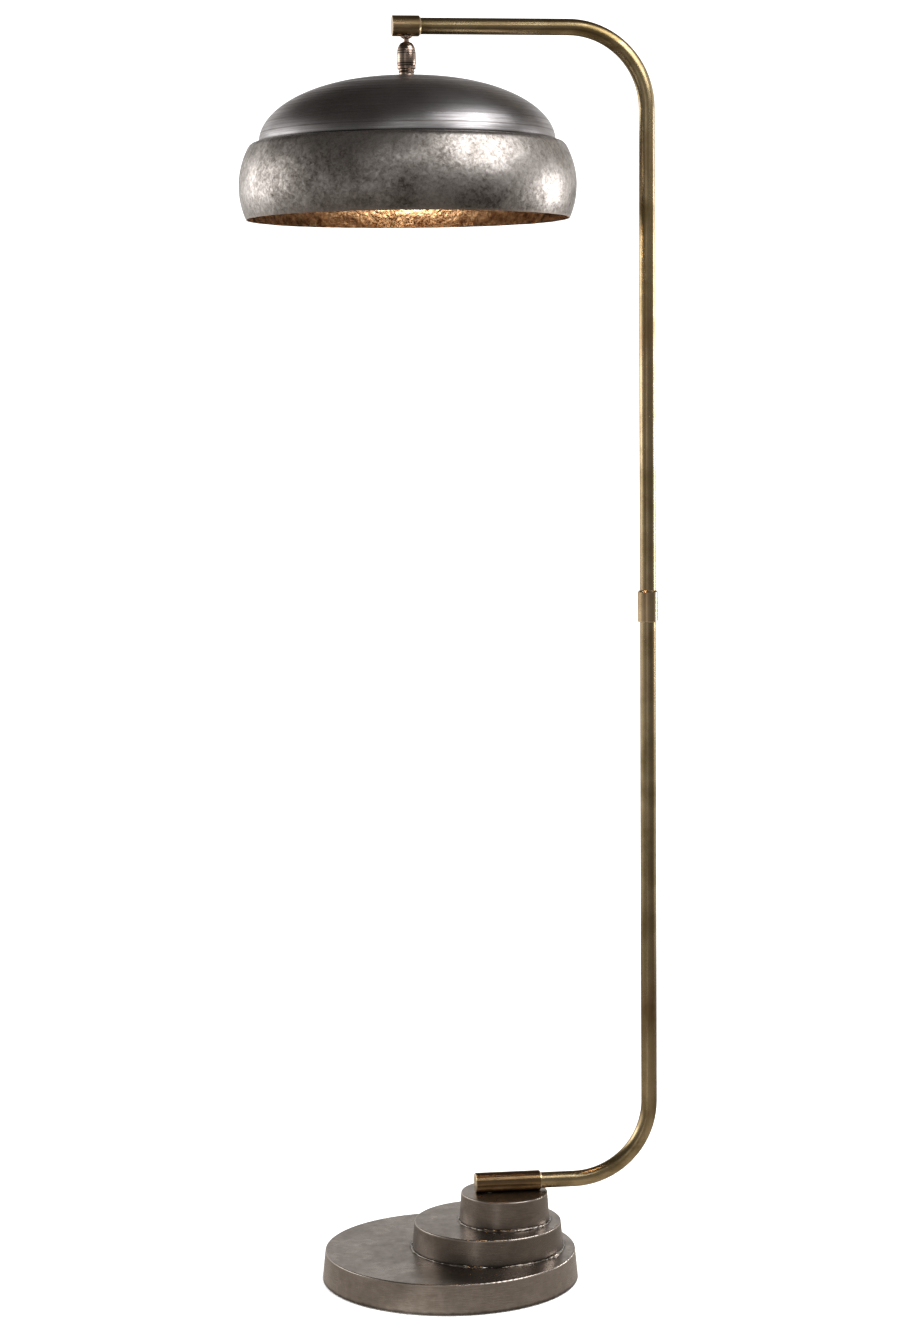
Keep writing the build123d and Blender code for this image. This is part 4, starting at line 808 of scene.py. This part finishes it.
class LAMP_OT_base(bpy.types.Operator):
    """Three stacked discs with their solder beads"""
    bl_idname = "lamp.base"
    bl_label = "Stacked base"

    def execute(self, context):
        middle = (MIDDLE_LOW, MIDDLE_HIGH)
        small = (SMALL_LOW, SMALL_HIGH)
        # The last column is how much painted shade darkens each disc's side
        for name, box, feet, painted_side_shade in (
                ("large", (LARGE_LOW, LARGE_HIGH), [middle], 0.0),
                ("middle", middle, [small], 0.50),
                ("small", small, [], 0.25)):
            plate = brushed_pewter("pewter_plate_" + name, *box, feet, painted_side_shade)
            finish_nodes(("base_disc_" + name,), plate)
        solder = plain("pewter_solder", "#a39b92", "#5a524b", 1.0, 0.22, 3 * MM, 0.1 * MM)
        self.bead("solder_bead_middle", *middle, solder)
        self.bead("solder_bead_small", *small, solder)
        return {"FINISHED"}

    def bead(self, name, low, high, material):
        """An uneven bead of solder round the foot of a disc."""
        centre_x = (low.x + high.x) / 2
        radius = (high.x - low.x) / 2
        thick = sizes().bead
        around, section = BEAD_STEPS
        deselect()
        bpy.ops.mesh.primitive_torus_add(
            location=(centre_x, 0, low.z), major_segments=around, minor_segments=section,
            major_radius=radius + 0.15 * thick, minor_radius=thick)
        piece = bpy.context.object
        piece.name = name
        piece.data.name = name
        bpy.ops.object.transform_apply(location=True, rotation=True, scale=True)
        swells = texture("CLOUDS", name + "_swells", BEAD_SWELL, noise_depth=2)
        modify(piece, "DISPLACE", texture=swells, strength=3.0 * thick, mid_level=0.5)
        lumps = texture("CLOUDS", name + "_lumps", BEAD_LUMP, noise_depth=2)
        modify(piece, "DISPLACE", texture=lumps, strength=1.1 * thick, mid_level=0.5)
        piece.data.materials.append(material)
        smooth(piece)
        put_on(piece, "base", "base_casting")


class LAMP_OT_hardware(bpy.types.Operator):
    """Fasteners, felt, grommet, washers and wiring"""
    bl_idname = "lamp.hardware"
    bl_label = "Hardware"

    def execute(self, context):
        steel = plain("zinc_plated_steel", "#b9b9b6", "#8f8f8c", 1.0, 0.38)
        finish_nodes((
            "middle_disc_bolts", "small_disc_bolts", "ballast_screws", "cover_screws", "tie_tube",
            "tie_nut", "tie_washer", "sleeve_set_screw", "stop_screw", "block_set_screw",
            "seat_spring", "shade_nipple", "shade_washer", "shade_nut", "switch_shaft"), steel)
        cast = plain("cast_iron_ballast", "#3b3a38", "#262524", 1.0, 0.7, 2.5 * MM, 0.2 * MM)
        finish_nodes(("ballast_plate",), cast)
        finish_nodes(("bottom_cover",), plain("black_painted_steel", "#1b1b1b", "#121212", 0.0, 0.5))
        felt = plain("pressed_felt", "#2a2d2b", "#161816", 0.0, 0.95, 0.6 * MM, 0.3 * MM)
        finish_nodes(("felt_pad",), felt)
        finish_nodes(("inlet_grommet",), plain("black_rubber", "#1a1a1a", "#0e0e0e", 0.0, 0.6))
        finish_nodes(("thrust_washer",), bpy.data.materials["nylon_seat"])
        jacket = plain("lead_jacket", "#202020", "#151515", 0.0, 0.5)
        finish_nodes(("lead_lower", "lead_upper", "lead_shade"), jacket)
        return {"FINISHED"}


class LAMP_OT_lampholder(bpy.types.Operator):
    """Lampholder, its switch and the bulb"""
    bl_idname = "lamp.lampholder"
    bl_label = "Lampholder and bulb"

    def execute(self, context):
        lacquered = plain("lacquered_brass", "#c9a35c", "#b08a45", 1.0, 0.25)
        finish_nodes(("holder_cap", "holder_shell", "screw_shell", "centre_contact"), lacquered)
        finish_nodes(("holder_liner",), plain("liner_card", "#b79a72", "#9c8058", 0.0, 0.85))
        finish_nodes(("holder_core",), plain("porcelain", "#f2efe6", "#e2ded2", 0.0, 0.3))
        finish_nodes(("bulb_cap",), plain("aluminium_cap", "#cfcfcf", "#b8b8b8", 1.0, 0.3))
        finish_nodes(("bulb_insulator",), plain("black_glass", "#101014", "#08080a", 0.0, 0.1))
        finish_nodes(("bulb_contact",), plain("solder_contact", "#b4b3ae", "#8f8e8a", 1.0, 0.45))
        finish_nodes(("switch_knob",), plain("black_phenolic_knob", "#191817", "#0d0c0c", 0.0, 0.28))
        finish_nodes(("bulb_glass",), frosted_bulb())
        return {"FINISHED"}


# ---------------------------------------------------------------- stage
FLOOR_SIZE = 16
CARD_RADIUS = 2.2
CARD_LIFT = 0.2 * MM              # above the floor
WARM_WHITE = (1.0, 0.972, 0.945)  # tint of the panels
SOFTBOX_DISTANCE = 3.0
CAMERA_PLACE = (-0.4408, -3.3837, 1.0621)
CAMERA_TURN = (-7.522, 5.513, -0.511)  # degrees: yaw, which is to the right below 0, pitch down, roll
CAMERA_LENS = 78.86               # millimetres, on a sensor 36 mm wide


class LAMP_OT_stage(bpy.types.Operator):
    """Paper floor, softboxes and camera"""
    bl_idname = "lamp.stage"
    bl_label = "Studio stage"

    def execute(self, context):
        self.paper()
        self.sky()
        self.softboxes()
        self.camera()
        context.scene.view_settings.view_transform = "Standard"
        context.scene.view_settings.look = "None"
        return {"FINISHED"}

    def paper(self):
        """White paper on the floor, and a dim card that the polished base mirrors in its place."""
        deselect()
        bpy.ops.mesh.primitive_plane_add(size=FLOOR_SIZE, location=(0, 0, 0))
        floor = bpy.context.object
        floor.name = "studio_floor"
        floor.data.materials.append(studio_paper())
        floor.visible_glossy = False
        deselect()
        bpy.ops.mesh.primitive_circle_add(
            vertices=96, radius=CARD_RADIUS, fill_type="NGON", location=(0, 0, CARD_LIFT))
        card = bpy.context.object
        card.name = "grey_card"
        card.data.materials.append(grey_card())
        for kind in ("camera", "diffuse", "shadow", "transmission", "volume_scatter"):
            setattr(card, "visible_" + kind, False)

    def sky(self):
        """Even white surroundings, and for reflections a studio of pale panels and dark gaps."""
        world = bpy.data.worlds.new("studio")
        bpy.context.scene.world = world
        # Light sampling would show polished metal the even surroundings in place of the studio
        world.cycles.sampling_method = "NONE"
        world.use_nodes = True
        tree = world.node_tree
        tree.nodes.clear()
        direction = node(tree, "TexCoord").outputs["Generated"]
        parts = node(tree, "SeparateXYZ", {0: direction}).outputs
        # Bearing from the front (-Y) towards +X, as 0 to 1 from the back round the left and the front
        behind = node(tree, "Math", {0: parts["Y"], 1: -1.0}, operation="MULTIPLY")
        bearing = node(tree, "Math", {0: parts["X"], 1: behind}, operation="ARCTAN2")
        turn = node(tree, "Math", {0: bearing, 1: 1 / (2 * pi), 2: 0.5}, operation="MULTIPLY_ADD")
        level = node(tree, "ValToRGB", {"Fac": turn}, self.panels((
            (-180, 0.58), (-150, 0.72), (-126, 0.95), (-104, 0.90), (-84, 0.42), (-60, 0.14),
            (-36, 0.13), (-27, 0.48), (-20, 0.48), (-10, 0.20), (20, 0.13), (40, 0.09), (62, 0.13),
            (84, 0.42), (104, 0.58), (128, 0.64), (150, 0.66), (180, 0.58))))
        low = node(tree, "ValToRGB", {"Fac": turn}, self.panels((
            (-180, 0.55), (-120, 0.50), (-84, 0.38), (-36, 0.20), (-26, 0.38), (-14, 0.20), (20, 0.13),
            (66, 0.12), (90, 0.50), (130, 0.65), (180, 0.55))))
        fall = {"Value": parts["Z"], "From Min": -0.12, "From Max": 0.04}
        room = node(tree, "Mix", {0: node(tree, "MapRange", fall), 6: low, 7: level}, data_type="RGBA")
        ceiling = {"Value": parts["Z"], "From Min": 0.26, "From Max": 0.58}
        room = paint_over(tree, room, linear("#3f3b38"), node(tree, "MapRange", ceiling))
        ground = {"Value": parts["Z"], "From Min": -0.30, "From Max": -0.55}
        room = paint_over(tree, room, linear("#54483c"), node(tree, "MapRange", ground))
        studio = node(tree, "Background", {"Color": room, "Strength": look().studio})
        even = node(tree, "Background", {"Color": (1, 1, 1), "Strength": look().room})
        mirrored = node(tree, "LightPath").outputs["Is Glossy Ray"]
        shown = node(tree, "MixShader", {0: mirrored, 1: even, 2: studio})
        node(tree, "OutputWorld", {"Surface": shown})

    def panels(self, stops):
        """Ramp stops of warm white for brightness by bearing in degrees."""
        return [((bearing + 180) / 360, tuple(tint * value for tint in WARM_WHITE))
                for bearing, value in stops]

    def softboxes(self):
        """Softboxes: bearing from the front towards +X, elevation, width, height and share of power."""
        middle = Vector((0.05, 0, 1.2))
        boxes = (
            ("key", 45, 37, 1.9, 2.0, 1.10),
            ("wing", 76, 40, 1.2, 1.3, 0.26),
            ("front", 0, 30, 1.6, 0.4, 0.08),
            ("right", 103, -3, 1.0, 1.0, 0.42),
            ("left", -116, 4, 2.4, 1.2, 0.34),
        )
        for name, bearing, elevation, width, height, share in boxes:
            a, e = radians(bearing), radians(elevation)
            out = Vector((sin(a) * cos(e), -cos(a) * cos(e), sin(e)))
            light = bpy.data.lights.new("softbox_" + name, "AREA")
            light.shape = "RECTANGLE"
            light.size = width
            light.size_y = height
            light.energy = share * look().key_power
            box = bpy.data.objects.new("softbox_" + name, light)
            bpy.context.scene.collection.objects.link(box)
            box.location = middle + SOFTBOX_DISTANCE * out
            box.rotation_euler = out.to_track_quat("Z", "Y").to_euler()
            box.visible_camera = False

    def camera(self):
        """Camera a little above the middle of the lamp, looking slightly down from the left."""
        lens = bpy.data.cameras.new("camera")
        lens.sensor_width = 36
        lens.lens = CAMERA_LENS
        camera = bpy.data.objects.new("camera", lens)
        bpy.context.scene.collection.objects.link(camera)
        yaw, pitch, roll = [radians(angle) for angle in CAMERA_TURN]
        forward = Vector((-sin(yaw) * cos(pitch), cos(yaw) * cos(pitch), -sin(pitch)))
        right = Vector((cos(yaw), sin(yaw), 0))
        up = right.cross(forward)
        rightward = cos(roll) * right + sin(roll) * up
        upward = cos(roll) * up - sin(roll) * right
        turn = Matrix((rightward, upward, -forward)).transposed().to_4x4()
        camera.matrix_world = Matrix.Translation(CAMERA_PLACE) @ turn
        bpy.context.scene.camera = camera


class LAMP_PT_panel(bpy.types.Panel):
    """Lists the lamp's pieces"""
    bl_label = "Pharmacy lamp"
    bl_idname = "LAMP_PT_panel"
    bl_space_type = "VIEW_3D"
    bl_region_type = "UI"
    bl_category = "Lamp"

    def draw(self, context):
        for group in (context.scene.lamp_sizes, context.scene.lamp_colours, context.scene.lamp_look):
            for name in group.__annotations__:
                self.layout.prop(group, name)
        for operator in STEPS:
            self.layout.operator(operator.bl_idname)


STEPS = (LAMP_OT_dome, LAMP_OT_band, LAMP_OT_swivel, LAMP_OT_stem, LAMP_OT_base, LAMP_OT_hardware,
         LAMP_OT_lampholder, LAMP_OT_stage)
CLASSES = (LampSizes, LampColours, LampLook, *STEPS, LAMP_PT_panel)


def register():
    """Registers the classes and hangs the settings on the scene."""
    for made in CLASSES:
        bpy.utils.register_class(made)
    bpy.types.Scene.lamp_sizes = bpy.props.PointerProperty(type=LampSizes)
    bpy.types.Scene.lamp_colours = bpy.props.PointerProperty(type=LampColours)
    bpy.types.Scene.lamp_look = bpy.props.PointerProperty(type=LampLook)


def unregister():
    """Takes the settings and the classes away again."""
    del bpy.types.Scene.lamp_look
    del bpy.types.Scene.lamp_colours
    del bpy.types.Scene.lamp_sizes
    for made in reversed(CLASSES):
        bpy.utils.unregister_class(made)


def main():
    """Registers the add-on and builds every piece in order."""
    register()
    for step in STEPS:
        category, name = step.bl_idname.split(".")
        getattr(getattr(bpy.ops, category), name)()


if __name__ == "__main__":
    main()
